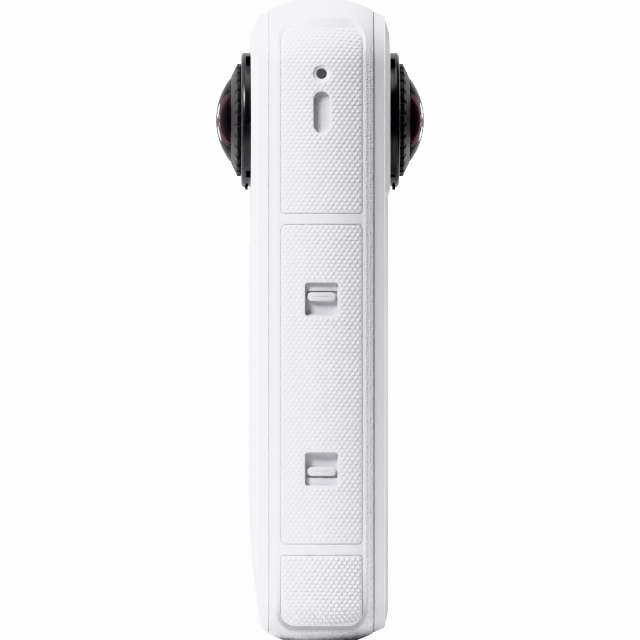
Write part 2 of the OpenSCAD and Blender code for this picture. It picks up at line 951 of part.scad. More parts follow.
module battery_side_upper_grip() {
  color("white")
    difference() {
      upper_panel(door_top + bridge_h);
      microphone_bore(mic_r);
      microphone_dish();
      speaker_bore(slot_w, slot_h, inner_y);
    }
}

module battery_side_lower_grip() {
  color("white")
    lower_panel(door_z - bridge_h);
}

module port_side_upper_grip() {
  color("white")
    port_side()
      difference() {
        upper_panel(port_door_top + bridge_h);
        microphone_bore(mic_r);
        microphone_dish();
        side_button_bore(power_z, 2 * run_gap);
        side_button_bore(quick_z, 2 * run_gap);
      }
}

module port_side_lower_grip() {
  color("white")
    port_side()
      lower_panel(port_door_z - bridge_h);
}

module microphone_dish() {
  side_prism(side_y(0, zone_depth) - mic_dish_depth)
    translate([0, mic_z])
      circle(mic_dish_r);
}

mesh_t = 0.2;
capsule_w = 2 * mic_r + 0.8;
capsule_t = 1;
module microphone_meshes() {
  color("dimgray")
    for (side = [0, 1])
      mirror([0, side, 0])
        translate([0, mesh_t + mic_dish_depth + seat_gap - side_y(0, zone_depth), mic_z])
          rotate([90, 0, 0])
            cylinder(r = mic_r - 0.03, h = mesh_t);
}

module microphones() {
  color("silver")
    for (side = [0, 1])
      mirror([0, side, 0])
        translate([-capsule_w / 2, seat_gap - inner_y, mic_z - capsule_w / 2])
          cube([capsule_w, capsule_t, capsule_w]);
}

module speaker_mesh() {
  from = side_y(0, zone_depth) - slot_depth - mesh_t;
  color("gainsboro")
    intersection() {
      speaker_bore(slot_w - 2 * seat_gap, slot_h - 2 * seat_gap, from);
      translate([-far / 2, -from - mesh_t, 0])
        cube([far, mesh_t, body_h]);
    }
}

speaker_w = slot_h + 2.4;
speaker_t = 2.6;
module speaker() {
  color("black")
    difference() {
      translate([-speaker_w / 2, seat_gap - inner_y, slot_z - speaker_w / 2])
        cube([speaker_w, speaker_t, speaker_w]);
      speaker_bore(slot_w, slot_h, inner_y - speaker_t / 2);
    }
}

// Fixed bayonet base on a face, with lugs that carry its flange and a stop with a tab at its foot
module lens_base(face) {
  color("black")
    difference() {
      union() {
        rotate_extrude()
          difference() {
            polygon([
              [seat_r, face - spigot_len], [spigot_r, face - spigot_len], [spigot_r, face],
              [groove_r, face], [groove_r, base_front - flange_t], [base_r, base_front - flange_t],
              [base_r, base_front], [bore_r, base_front], [bore_r, hook_back + hook_h + hook_play],
              [hook_r + hook_play, hook_back + hook_h + hook_play], [hook_r + hook_play, hook_back - hook_play],
              [bore_r, hook_back - hook_play], [bore_r, face - spigot_len + 0.7],
              [seat_r, face - spigot_len + 0.7]
            ]);
            translate([base_r - flange_round, base_front - flange_round])
              difference() {
                square(flange_round + past);
                circle(flange_round);
              }
          }
        for (middle = lug_middles)
          rotate([0, 0, middle - lug_span / 2])
            rotate_extrude(angle = lug_span)
              translate([lug_root_r, face])
                square([base_r - seat_gap - lug_root_r, lug_front - face]);
        rotate([0, 0, tab_angle - stop_span / 2])
          rotate_extrude(angle = stop_span)
            translate([lug_root_r, face])
              square([stop_r - lug_root_r, lug_front - face]);
        rotate([0, 0, tab_angle - tab_span / 2])
          rotate_extrude(angle = tab_span)
            translate([groove_r, lug_front - tab_t + seat_gap])
              square([tab_r - groove_r, tab_t]);
      }
      for (middle = lug_middles)
        rotate([0, 0, middle + ring_turn - hook_span / 2 - 2])
          rotate_extrude(angle = hook_span + 4)
            translate([bore_r - past, hook_back + hook_h])
              square([hook_r + hook_play / 2 - bore_r + past, far]);
    }
}

module lens_barrel() {
  color("black")
    rotate_extrude()
      polygon([
        [barrel_r + 2.3, barrel_back], [barrel_r + 2.3, barrel_back + 2.2], [barrel_r, barrel_back + 2.2],
        [barrel_r, barrel_neck_z], [dome_edge_r - 0.1, barrel_neck_z], [dome_edge_r - 0.1, barrel_front],
        [inner_lens_r + seat_gap, barrel_front], [inner_lens_r + seat_gap, inner_lens_back - seat_gap],
        [inner_lens_r - 0.8, inner_lens_back - seat_gap], [4, barrel_back + 2.4], [4, barrel_back + 1.4],
        [barrel_r + 0.5, barrel_back + 1.4], [barrel_r + 0.5, barrel_back]
      ]);
}

inner_lens_curve = 9;
module inner_lens() {
  color("darkslateblue")
    rotate_extrude()
      intersection() {
        translate([0, barrel_front + 1.3 - inner_lens_curve])
          circle(inner_lens_curve);
        translate([0, inner_lens_back])
          square([inner_lens_r, far]);
      }
}

module lens_seal(face) {
  low = face - spigot_len + 0.7;
  color("darkred")
    translate([0, 0, low + seat_gap / 2])
      difference() {
        cylinder(r = bore_r - seat_gap, h = lens_skirt_back(face) - low - seat_gap);
        translate([0, 0, -past])
          cylinder(r = seat_r, h = far);
      }
}

function lens_skirt_back(face) = face - spigot_len + 1;

// Sensor board that both lens modules carry on the chassis plate, with the sensor on it
module sensor_board() {
  color("darkgreen") {
    translate([-sensor_board_w / 2, -sensor_board_w / 2, bracket_half + seat_gap])
      cube([sensor_board_w, sensor_board_w, sensor_board_t]);
    translate([-sensor_w / 2, -sensor_h / 2, sensor_front])
      cube([sensor_w, sensor_h, sensor_t]);
  }
}

// Removable ring: conical front with a scalloped rim, a skirt and three bayonet hooks
module lens_ring(face) {
  color("#202020")
    difference() {
      union() {
        rotate_extrude()
          polygon([
            [skirt_inner_r, lens_skirt_back(face)], [skirt_r, lens_skirt_back(face)], [skirt_r, ring_back],
            [ring_r, ring_back], [ring_r, ring_back + ring_rim_h], [dome_edge_r + seat_gap, lip_front],
            [dome_edge_r + seat_gap, lip_back], [dome_rim_r + seat_gap, lip_back],
            [dome_rim_r + seat_gap, rim_back - seat_gap], [dome_edge_r - 0.5, rim_back - seat_gap],
            [dome_edge_r - 0.5, ring_back], [skirt_inner_r, ring_back]
          ]);
        for (middle = lug_middles)
          rotate([0, 0, middle - hook_span / 2])
            rotate_extrude(angle = hook_span)
              translate([skirt_r - 0.5, hook_back])
                square([hook_r - skirt_r + 0.5, hook_h]);
      }
      for (i = [0 : scallops - 1])
        rotate([0, 0, i * 360 / scallops])
          translate([ring_r + scallop_r * 0.6, 0, ring_back - past])
            cylinder(r = scallop_r, h = ring_rim_h + 2 * past);
    }
}

module lens_dome() {
  color("#101014")
    rotate_extrude()
      difference() {
        union() {
          intersection() {
            translate([0, dome_mid])
              circle(dome_r);
            translate([0, rim_back + past / 2])
              square([dome_edge_r, far]);
          }
          translate([0, rim_back])
            square([dome_rim_r, lip_back - seat_gap - rim_back]);
        }
        translate([0, dome_reach - dome_t - dome_hollow_r])
          circle(dome_hollow_r);
        translate([-far, 0])
          square([far, far]);
      }
}

module front_lens_base() { at_lens(0) lens_base(front_face); }
module rear_lens_base() { at_lens(180) lens_base(rear_face); }
module front_lens_barrel() { at_lens(0) lens_barrel(); }
module rear_lens_barrel() { at_lens(180) lens_barrel(); }
module front_inner_lens() { at_lens(0) inner_lens(); }
module rear_inner_lens() { at_lens(180) inner_lens(); }
module front_lens_seal() { at_lens(0) lens_seal(front_face); }
module rear_lens_seal() { at_lens(180) lens_seal(rear_face); }
module front_sensor_board() { at_lens(0) sensor_board(); }
module rear_sensor_board() { at_lens(180) sensor_board(); }
module front_lens_ring() { at_lens(0) lens_ring(front_face); }
module rear_lens_ring() { at_lens(180) lens_ring(rear_face); }
module front_dome() { at_lens(0) lens_dome(); }
module rear_dome() { at_lens(180) lens_dome(); }

module main_board() {
  color("darkgreen") {
    translate([-main_board_front, -main_board_half, main_board_bottom])
      cube([board_t, 2 * main_board_half, main_board_top - main_board_bottom]);
    translate([-shield_front, -shield_half, shield_bottom])
      cube([shield_front - main_board_front, 2 * shield_half, shield_top - shield_bottom]);
  }
}

module heat_spreader() {
  color("chocolate")
    translate([seat_gap - front_inner, -shield_half - spreader_edge, shield_bottom])
      cube([front_inner - shield_front - 2 * seat_gap, 2 * (shield_half + spreader_edge),
        shield_top + spreader_edge - shield_bottom]);
}

module port_board() {
  color("darkgreen")
    translate([port_board_x - board_t, bay_back + bay_wall + seat_gap, port_board_bottom])
      cube([board_t, inner_y - bay_back - bay_wall - 4 * seat_gap, port_board_top - port_board_bottom]);
}

module usb_socket() {
  color("silver")
    port_side() {
      difference() {
        intersection() {
          side_prism(usb_front - usb_len)
            translate([0, port_z])
              stadium(usb_w, usb_h);
          translate([-far / 2, -usb_front, 0])
            cube([far, usb_len, body_h]);
        }
        side_prism(usb_front - usb_len + 1)
          translate([0, port_z])
            stadium(usb_w - 2 * usb_shell_t, usb_h - 2 * usb_shell_t);
      }
      translate([-0.35, -usb_front + 0.6, port_z - 3.3])
        cube([0.7, usb_len - 1, 6.6]);
    }
}

module card_socket() {
  color("silver")
    difference() {
      translate([port_board_x - board_t - seat_gap - card_t, bay_back + bay_wall + seat_gap, card_z - card_h / 2])
        cube([card_t, card_len, card_h]);
      translate([port_board_x - board_t - card_t + 0.1, bay_back, card_z - card_h / 2 + 1.2])
        cube([card_t - 0.4, card_len, card_h - 2.4]);
    }
}

module battery_contacts() {
  color("gold") {
    translate([-contact_w / 2, pack_back + 0.15, contact_z])
      cube([contact_w, bay_back + bay_wall - pack_back + 0.5, contact_h]);
    translate([-contact_w / 2 - contact_lip, bay_back + bay_wall + seat_gap, contact_z - contact_lip])
      cube([contact_w + 2 * contact_lip, contact_lip, contact_h + 2 * contact_lip]);
  }
}

module display_panel() {
  inset = glass_ledge + 0.6;
  color("#20242c")
    translate([display_front - display_t, inset - glass_w / 2, glass_z + inset])
      cube([display_t, glass_w - 2 * inset, glass_top - glass_z - 2 * inset]);
}

module screen_glass() {
  color("black")
    intersection() {
      glass_prism(0, screen_face - glass_t);
      translate([0, -far, 0])
        cube([screen_face, 2 * far, body_h]);
    }
}

module rear_key_board() {
  color("darkgreen") {
    translate([rear_board_front - board_t, -rear_board_half, rear_button_z - rear_button_r - key_board_edge])
      cube([board_t, 2 * rear_board_half, 2 * (rear_button_r + key_board_edge) + 2]);
    for (side = [-1, 1])
      translate([rear_board_front, side * rear_button_y - switch_w / 2, rear_button_z - switch_w / 2])
        cube([switch_h, switch_w, switch_w]);
  }
}

module side_key_board() {
  color("darkgreen") {
    translate([-side_button_w, side_board_back, quick_z - side_board_half])
      cube([2 * side_button_w, board_t, key_pitch + 2 * side_board_half]);
    for (z = [power_z, quick_z])
      translate([-switch_w / 2, side_board_front, z - switch_w / 2])
        cube([switch_w, switch_h, switch_w]);
  }
}

module tripod_insert() {
  color("gold")
    difference() {
      cylinder(r = insert_r, h = insert_len);
      translate([0, 0, -past])
        cylinder(r = tripod_r, h = thread_depth + past);
    }
}

module status_light() {
  color("lightcyan")
    status_bore(status_r, front_inner - 0.4, front_face - seat_gap);
}

module usb_hinge_pin() {
  color("silver")
    hinge_bar(pin_r, port_door_z + 0.5 + seat_gap, port_door_top - 0.5 - seat_gap);
}

// Cover with a plug that closes the bay, and a channel behind each latch window
module battery_cover() {
  color("white")
    difference() {
      union() {
        panel(door_z, door_top, door_corner_r, door_corner_r);
        intersection() {
          side_layer(zone_depth + panel_t / 2, deep_layer);
          side_prism(pack_front + seat_gap)
            translate([-pack_half, pack_bottom])
              square([2 * pack_half, pack_top - pack_bottom]);
        }
      }
      latch_cut();
      lower_end()
        latch_cut();
    }
}

// Finger recess, window and channel of the upper latch
module latch_cut() {
  recess_half = latch_recess / 2;
  intersection() {
    side_layer(-past, zone_depth + latch_recess_depth);
    side_prism(0)
      round_rect([-recess_half, latch_z - recess_half], [recess_half, latch_z + recess_half],
        latch_recess_r, latch_recess_r);
  }
  side_prism(pack_front)
    round_rect([-window_w / 2, window_bottom], [window_w / 2, window_top], panel_corner_r, panel_corner_r);
  translate([-plate_half - run_gap, -channel_roof, channel_end])
    cube([2 * (plate_half + run_gap), channel_roof, far]);
}

module battery_pack() {
  color("#2a2a2e")
    difference() {
      translate([-pack_half, -pack_front, pack_bottom])
        cube([2 * pack_half, pack_depth, pack_top - pack_bottom]);
      for (i = [0 : terminals - 1])
        translate([terminal_x(i) - seat_gap, pack_back - terminal_t - seat_gap, contact_z])
          cube([terminal_w + 2 * seat_gap, terminal_t + past, contact_h]);
    }
}

function terminal_x(i) = (i + 0.5) * contact_w / terminals - contact_w / 2 - terminal_w / 2;

module battery_terminals() {
  color("gold")
    for (i = [0 : terminals - 1])
      translate([terminal_x(i), pack_back - terminal_t - seat_gap, contact_z + seat_gap])
        cube([terminal_w, terminal_t, contact_h - 2 * seat_gap]);
}

module battery_seal() {
  color("darkred")
    difference() {
      intersection() {
        side_layer(panel_back + seat_gap, panel_back + seat_gap + seal_t);
        side_prism(0)
          round_rect([0.3 - zone_half, door_z + 0.3], [zone_half - 0.3, door_top - 0.3],
            door_corner_r, door_corner_r);
      }
      side_prism(0)
        round_rect([-bay_half, bay_bottom], [bay_half, bay_top], panel_corner_r, panel_corner_r);
    }
}

module latch_spring() {
  color("silver")
    translate([0, -(latch_front + latch_back) / 2, channel_end + seat_gap / 2])
      difference() {
        cylinder(d = spring_d, h = spring_len);
        translate([0, 0, -past])
          cylinder(d = spring_d - 0.5, h = spring_len + 2 * past);
      }
}

// Slider: a plate behind the window, a nub in it and a bar to the end of the cover
module latch() {
  color("white") {
    translate([-plate_half, -latch_front, plate_bottom])
      cube([2 * plate_half, latch_front - latch_back, plate_top - plate_bottom]);
    translate([-bar_w / 2, -latch_front, plate_bottom])
      cube([bar_w, latch_front - latch_back, bar_top - plate_bottom]);
    intersection() {
      side_prism(latch_back)
        translate([0, nub_z])
          rotate([0, 0, 90])
            stadium(nub_h, nub_w);
      side_layer(zone_depth + nub_sink, deep_layer);
    }
  }
}

module upper_latch_spring() { latch_spring(); }
module lower_latch_spring() { lower_end() latch_spring(); }
module upper_latch() { latch(); }
module lower_latch() { lower_end() latch(); }

// Round button: a cap with a softened edge and a flange that keeps it in
module rear_button(side) {
  soft = 0.25;
  cap = screen_face + button_proud;
  color("whitesmoke")
    at_rear_button(side)
      rotate_extrude()
        polygon(concat(
          [[0, rear_flange_back], [rear_button_r + flange_w, rear_flange_back],
            [rear_button_r + flange_w, rear_flange_back + key_flange_t],
            [rear_button_r, rear_flange_back + key_flange_t]],
          arc_points([rear_button_r - soft, cap - soft], soft, 0, 90, 4),
          [[0, cap]]
        ));
}

module shutter_button() { rear_button(-1); }
module mode_button() { rear_button(1); }

module side_button(z) {
  color("whitesmoke")
    port_side() {
      intersection() {
        side_prism(side_flange_back)
          translate([0, z])
            stadium(side_button_w, side_button_h);
        side_layer(zone_depth - button_proud, deep_layer);
      }
      intersection() {
        side_prism(side_flange_back)
          translate([0, z])
            stadium(side_button_w + 2 * flange_w, side_button_h + 2 * flange_w);
        translate([-far / 2, -side_flange_back - key_flange_t, 0])
          cube([far, key_flange_t, body_h]);
      }
    }
}

module power_button() { side_button(power_z); }
module quick_button() { side_button(quick_z); }

module usb_door() {
  low = port_door_z;
  high = port_door_top;
  color("white")
    difference() {
      union() {
        intersection() {
          port_side()
            panel(low, high, door_corner_r, door_corner_r);
          translate([-far, 0, 0])
            cube([far + hinge_x, far, body_h]);
        }
        hinge_bar(knuckle_r, low + lug_len + panel_gap, high - lug_len - panel_gap);
      }
      for (z = [low - past, high - lug_len - panel_gap])
        hinge_bar(knuckle_r + knuckle_gap, z, z + lug_len + panel_gap + past);
      hinge_bar(pin_r + pin_fit, low, high);
    }
}

// Rubber plug on the inside of the door
module usb_door_seal() {
  half = port_recess_w / 2 - 0.4;
  half_h = port_recess_h / 2 - 0.4;
  color("darkred")
    port_side()
      intersection() {
        side_layer(panel_back + seat_gap, deep_layer);
        side_prism(port_floor + 0.3)
          round_rect([-half, port_z - half_h], [half, port_z + half_h], panel_corner_r, panel_corner_r);
      }
}

mid_frame();
chassis();
front_shell();
rear_shell();
front_shell_seal();
rear_shell_seal();
shell_screws();
front_grip();
battery_side_upper_grip();
battery_side_lower_grip();
port_side_upper_grip();
port_side_lower_grip();
microphone_meshes();
microphones();
speaker_mesh();
speaker();
front_lens_base();
rear_lens_base();
front_lens_barrel();
rear_lens_barrel();
front_inner_lens();
rear_inner_lens();
front_lens_seal();
rear_lens_seal();
front_sensor_board();
rear_sensor_board();
main_board();
heat_spreader();
port_board();
usb_socket();
card_socket();
battery_contacts();
display_panel();
screen_glass();
rear_key_board();
side_key_board();
tripod_insert();
status_light();
usb_hinge_pin();
battery_cover();
battery_pack();
battery_terminals();
battery_seal();
upper_latch_spring();
lower_latch_spring();
upper_latch();
lower_latch();
front_lens_ring();
front_dome();
rear_lens_ring();
rear_dome();
shutter_button();
mode_button();
power_button();
quick_button();
usb_door();
usb_door_seal();
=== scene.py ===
import json
from math import acos, asin, atan, cos, pi, radians, sin, tan, tau

import bmesh
import bpy
import numpy as np
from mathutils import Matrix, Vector


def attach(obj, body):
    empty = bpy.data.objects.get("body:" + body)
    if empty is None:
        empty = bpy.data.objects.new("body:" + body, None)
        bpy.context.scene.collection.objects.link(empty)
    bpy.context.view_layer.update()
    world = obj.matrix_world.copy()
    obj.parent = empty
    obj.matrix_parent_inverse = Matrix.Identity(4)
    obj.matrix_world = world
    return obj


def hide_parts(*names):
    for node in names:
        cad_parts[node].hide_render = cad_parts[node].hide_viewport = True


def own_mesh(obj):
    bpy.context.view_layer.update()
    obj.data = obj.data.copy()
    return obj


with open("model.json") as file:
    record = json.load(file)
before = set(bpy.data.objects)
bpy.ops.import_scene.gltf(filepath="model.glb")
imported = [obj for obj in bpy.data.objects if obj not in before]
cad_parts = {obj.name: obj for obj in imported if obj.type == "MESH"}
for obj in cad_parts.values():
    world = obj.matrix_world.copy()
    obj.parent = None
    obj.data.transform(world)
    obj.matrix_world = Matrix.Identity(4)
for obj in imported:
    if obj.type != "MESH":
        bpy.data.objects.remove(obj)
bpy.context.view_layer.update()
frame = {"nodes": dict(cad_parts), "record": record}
print("frame loaded")

# Shared sizes in millimetres, the same as in the frame.
body = {
    "height": 113.8, "halfWidth": 23.0, "crown": 20.0, "topCorner": 12.0, "bottomCorner": 8.0,
    "footCut": 0.9, "parting": 9.2, "innerY": 19.2, "insertHole": 4.66, "lensZ": 92.3, "micZ": 100.0,
    "zoneHalf": 7.25, "zoneBottom": 2.6, "zoneTop": 108.4, "zoneCorner": 2.6, "zoneDepth": 0.35,
    "sideRise": 0.26, "headStart": 102.0, "headDip": 0.36, "panelBack": 1.35, "panelGap": 0.12,
    "bridge": 1.95, "gripCorner": 0.5, "doorCorner": 0.9, "doorBottom": 17.2, "doorTop": 73.4,
    "portBottom": 26.0, "portTop": 54.0,
}
halfWidth, zoneHalf, doorCorner = body["halfWidth"], body["zoneHalf"], body["doorCorner"]
topCorner, bottomCorner = body["topCorner"], body["bottomCorner"]
midTop = halfWidth - topCorner
midBottom = halfWidth - bottomCorner
sideTop = body["height"] - topCorner
sideBottom = bottomCorner - body["footCut"]
doorMiddle, doorRise = (body["doorTop"] + body["doorBottom"]) / 2, (body["doorTop"] - body["doorBottom"]) / 2
portMiddle, portRise = (body["portTop"] + body["portBottom"]) / 2, (body["portTop"] - body["portBottom"]) / 2
panelHalf = zoneHalf - body["panelGap"]
tiny = 1e-6

# Path lengths along half the outline, from the bottom's middle, where its five pieces end.
pathMarks = np.cumsum([midBottom, bottomCorner * pi / 2, sideTop - sideBottom,
                       topCorner * pi / 2, midTop])


def clamp(value):
    return np.clip(value, 0, 1)


# Crown: offset from the outline, negative inwards, of a point x off the middle at depth k.
def crownDrop(x, k):
    return np.sqrt((body["crown"] - k) ** 2 - x ** 2) - body["crown"]


# Panel depth: flatter than the band's crown, deepest in the middle, almost flush at the sides.
def panelDepth(a, b=0.0):
    head = clamp((b - body["headStart"]) / (body["zoneTop"] - body["headStart"]))
    return body["zoneDepth"] + body["headDip"] * head ** 2 - body["sideRise"] * (a / zoneHalf) ** 2


def xyz(x, y, z):
    return np.stack([x, y, z], axis=-1)


# Side surface as a height field: straight in the middle, carried round an arc at each corner.
def sidePoint(x, z, k, side):
    u = crownDrop(x, k)
    topR, bottomR = topCorner + u, bottomCorner + u
    up, down = np.clip(z - sideTop, 0, topR), np.clip(sideBottom - z, 0, bottomR)
    y = np.where(z < sideBottom, midBottom + np.sqrt(bottomR ** 2 - down ** 2), halfWidth + u)
    y = np.where(z > sideTop, midTop + np.sqrt(topR ** 2 - up ** 2), y)
    return xyz(x + 0 * y, side * y, z + 0 * y)


# Path length of a side point at height z.
def pathOf(x, z):
    u = crownDrop(x, 0)
    top = np.arcsin(clamp((z - sideTop) / (topCorner + u)))
    bottom = np.arcsin(clamp((sideBottom - z) / (bottomCorner + u)))
    straight = np.clip(z, sideBottom, sideTop) - sideBottom
    return pathMarks[1] + straight + topCorner * top - bottomCorner * bottom


# Band point at path length s: outline point plus its normal times the crown.
def bandPoint(x, s, k, side):
    lower = np.clip((s - pathMarks[0]) / bottomCorner, 0, pi / 2) - pi / 2
    upper = np.clip((s - pathMarks[2]) / topCorner, 0, pi / 2)
    turn, low = lower + upper, s < pathMarks[1]
    r = np.where(low, bottomCorner, topCorner) + crownDrop(x, k)
    y = np.where(low, np.minimum(s, midBottom), midTop - np.maximum(s - pathMarks[3], 0)) + r * np.cos(turn)
    z = np.where(s > pathMarks[2], sideTop + r * np.sin(turn), sideBottom + s - pathMarks[1])
    z = np.where(low, sideBottom + r * np.sin(turn), z)
    return xyz(x + 0 * y, side * y, np.maximum(z, 0))


# Faces of a grid of points, and of loops joined one to the next.
def gridFaces(rows, cols, wrap, flip):
    i = np.arange(rows - 1)[:, None]
    j = np.arange(cols if wrap else cols - 1)[None, :]
    n = (j + 1) % cols
    ring = [i * cols + j, i * cols + n, (i + 1) * cols + n, (i + 1) * cols + j]
    return np.stack(ring[::-1] if flip else ring, axis=-1).reshape(-1, 4)


def loft(loops, flip=False):
    points = np.stack(loops)
    return points.reshape(-1, 3), gridFaces(len(loops), points.shape[1], True, not flip)


def box(low, high):
    x, y, z = [np.array([a, b]) for a, b in zip(low, high)]
    points = np.stack(np.meshgrid(x, y, z, indexing="ij"), axis=-1).reshape(-1, 3)
    faces = [[0, 1, 3, 2], [4, 6, 7, 5], [0, 4, 5, 1], [2, 3, 7, 6], [0, 2, 6, 4], [1, 5, 7, 3]]
    return points, np.array(faces)


# Turned shape about an axis along x, from a profile of (radius, reach) pairs.
def revolve(profile, count, facing, ripple=None):
    turn = np.arange(count) * tau / count
    r = profile[:, :1] + 0 * turn
    if ripple:
        r = r + ripple(profile[:, :1], turn)
    y, z = r * np.sin(turn), body["lensZ"] + r * np.cos(turn)
    points = xyz(facing * profile[:, 1:] + 0 * r, y, z)
    return points.reshape(-1, 3), gridFaces(len(profile), count, True, False)


# Polyline with an arc at each corner; nearly straight corners stay.
def filleted(corners, radii, steps=5, straight=1.55):
    corners = np.array(corners, float)
    out = [corners[:1]]
    for p, q, r, radius in zip(corners, corners[1:], corners[2:], radii):
        a, b = (p - q) / np.linalg.norm(p - q), (r - q) / np.linalg.norm(r - q)
        half = acos(np.clip(a @ b, -1, 1)) / 2
        if radius <= 0 or half > straight:
            out.append(q[None])
            continue
        middle = q + (a + b) / np.linalg.norm(a + b) * radius / sin(half)
        s, e = q + a * radius / tan(half) - middle, q + b * radius / tan(half) - middle
        t = np.linspace(0, 1, steps)[:, None]
        arc = s * (1 - t) + e * t
        out.append(middle + arc / np.linalg.norm(arc, axis=1, keepdims=True) * radius)
    return np.concatenate(out + [corners[-1:]])


# Rounded rectangle as a loop of points with outward normals, anticlockwise.
def roundLoop(low, high, bottomR, topR, step, arc=10):
    (a0, b0), (a1, b1) = low, high
    bottomR, topR = max(bottomR, 1e-3), max(topR, 1e-3)
    parts = []

    def line(p, q, n):
        count = max(int(np.hypot(q[0] - p[0], q[1] - p[1]) / step), 2)
        t = np.linspace(0, 1, count, endpoint=False)[:, None]
        points = np.array(p) * (1 - t) + np.array(q) * t
        parts.append(np.hstack([points, np.tile(n, (len(t), 1))]))

    def bend(c, r, start):
        t = radians(start) + np.linspace(0, pi / 2, arc, endpoint=False)
        n = np.stack([np.cos(t), np.sin(t)], axis=1)
        parts.append(np.hstack([np.array(c) + r * n, n]))

    line((a0 + bottomR, b0), (a1 - bottomR, b0), (0, -1))
    bend((a1 - bottomR, b0 + bottomR), bottomR, -90)
    line((a1, b0 + bottomR), (a1, b1 - topR), (1, 0))
    bend((a1 - topR, b1 - topR), topR, 0)
    line((a1 - topR, b1), (a0 + topR, b1), (0, 1))
    bend((a0 + topR, b1 - topR), topR, 90)
    line((a0, b1 - topR), (a0, b0 + bottomR), (-1, 0))
    bend((a0 + bottomR, b0 + bottomR), bottomR, 180)
    return np.round(np.concatenate(parts).T, 9)


# The same about a middle, with one radius and evenly spaced points.
def evenLoop(half, middle, rise, r, shift=0.0, count=240):
    loop = roundLoop((shift - half, middle - rise), (shift + half, middle + rise), r, r, 0.3)
    closed = np.hstack([loop, loop[:, :1]])
    at = np.concatenate([[0], np.cumsum(np.hypot(*np.diff(closed[:2], axis=1)))])
    want = np.linspace(0, at[-1], count, endpoint=False)
    return np.stack([np.interp(want, at, row) for row in closed])


# A loop's points at a depth under the side's surface, and on a flat plane across it.
def loopPoint(loop, k, side):
    return sidePoint(loop[0], loop[1], k + 0 * loop[0], side)


def levelPoint(loop, y):
    return xyz(loop[0], y + 0 * loop[0], loop[1])


def plate(a, b, w, h, r):
    return {"a": a, "b": b, "halfA": w / 2, "halfB": h / 2, "round": r}


def disc(a, b, r):
    return plate(a, b, 2 * r, 2 * r, r)


def pill(a, b, w, h):
    return plate(a, b, w, h, min(w, h) / 2)


# Distance to a rounded rectangle's outline, negative inside it.
def edgeDistance(a, b, hole):
    qa = np.abs(a - hole["a"]) - (hole["halfA"] - hole["round"])
    qb = np.abs(b - hole["b"]) - (hole["halfB"] - hole["round"])
    outside = np.hypot(np.maximum(qa, 0), np.maximum(qb, 0))
    return outside + np.minimum(np.maximum(qa, qb), 0) - hole["round"]


# Tile: a grid with rounded corners whose points slide onto the outlines of its holes, a skirt
# of loops round its edge and a wall of loops down each hole. spec holds its low and high corner, the radii
# at its bottom and top and its step. place turns (a, b, depth) into a point.
grid = {"snap": 0.55, "touch": 2e-3, "probe": 1e-4, "least": 1e-9, "arc": 10, "arcShare": 1.5}


def tile(spec, place, depth, skirt, holes=(), flip=False):
    (a0, b0), (a1, b1), rb, rt, step = spec
    turn = lambda r: np.linspace(0, pi / 2, max(grid["arc"], int(grid["arcShare"] * r / step)))
    rise = lambda r: r * (1 - np.cos(turn(r))) if r else np.zeros(1)
    middle = np.linspace(b0 + rb, b1 - rt, int((b1 - rt - b0 - rb) / step) + 2)[1:-1]
    rows = np.concatenate([b0 + rise(rb), middle, b1 - rise(rt)[::-1]])
    below, above = np.clip(b0 + rb - rows, 0, rb), np.clip(rows - b1 + rt, 0, rt)
    half = (a1 - a0) / 2 - (rb - np.sqrt(rb ** 2 - below ** 2)) - (rt - np.sqrt(rt ** 2 - above ** 2))
    cols = np.linspace(-1, 1, int((a1 - a0) / step) + 1)
    a = (a0 + a1) / 2 + half[:, None] * cols
    b = rows[:, None] + 0 * cols
    for hole, _ in holes:
        d, e = edgeDistance(a, b, hole), grid["probe"]
        near = np.abs(d) < grid["snap"] * step
        ga = (edgeDistance(a + e, b, hole) - edgeDistance(a - e, b, hole)) / (2 * e)
        gb = (edgeDistance(a, b + e, hole) - edgeDistance(a, b - e, hole)) / (2 * e)
        a, b = np.where(near, a - d * ga, a), np.where(near, b - d * gb, b)
    k = depth(a, b)
    points = place(a, b, k)
    faces = gridFaces(*a.shape, False, flip)
    for hole, _ in holes:
        inside = (edgeDistance(a, b, hole) < grid["touch"]).ravel()
        faces = faces[~inside[faces].all(axis=1)]
    patches = [(points.reshape(-1, 3), faces)]
    used = np.zeros(a.size, bool)
    used[faces] = True
    for hole, wall in holes:
        on = np.flatnonzero(used & (np.abs(edgeDistance(a, b, hole)) < grid["touch"]).ravel())
        ha, hb, hk = a.ravel()[on] - hole["a"], b.ravel()[on] - hole["b"], k.ravel()[on]
        order = np.argsort(np.arctan2(hb, ha))
        rings = wall(hole, ha[order], hb[order], hk[order])
        patches.append(loft([place(*ring) for ring in rings], not flip))
    r, c = a.shape
    edge = np.concatenate([np.arange(c), np.arange(2, r + 1) * c - 1,
                           (r - 1) * c + np.arange(c - 2, -1, -1), np.arange(r - 2, 0, -1) * c])
    ea, eb, ek = a.ravel()[edge], b.ravel()[edge], k.ravel()[edge]
    offA, offB = ea - (a0 + a1) / 2, eb - (b0 + b1) / 2
    radius = np.where(offB < 0, rb, rt)
    qa = np.maximum(np.abs(offA) - ((a1 - a0) / 2 - radius), 0) + grid["least"]
    qb = np.maximum(np.abs(offB) - ((b1 - b0) / 2 - radius), 0) + grid["least"]
    length = np.hypot(qa, qb)
    na, nb = qa / length * np.sign(offA), qb / length * np.sign(offB)
    if not rb and not rt:
        na, nb = np.round(na), np.round(nb)
    patches.append(loft([place(*ring) for ring in [(ea, eb, ek)] + skirt(ea, eb, ek, na, nb)], flip))
    return patches


# Wall of a hole: rings given as (inset, depth added), drawn in towards its middle.
def holeWall(*steps):
    def wall(hole, ha, hb, hk):
        rings = [(ha + hole["a"], hb + hole["b"], hk)]
        for inset, deeper in steps:
            fa, fb = (hole["halfA"] - inset) / hole["halfA"], (hole["halfB"] - inset) / hole["halfB"]
            rings.append((ha * fa + hole["a"], hb * fb + hole["b"], hk + deeper))
        return rings
    return wall


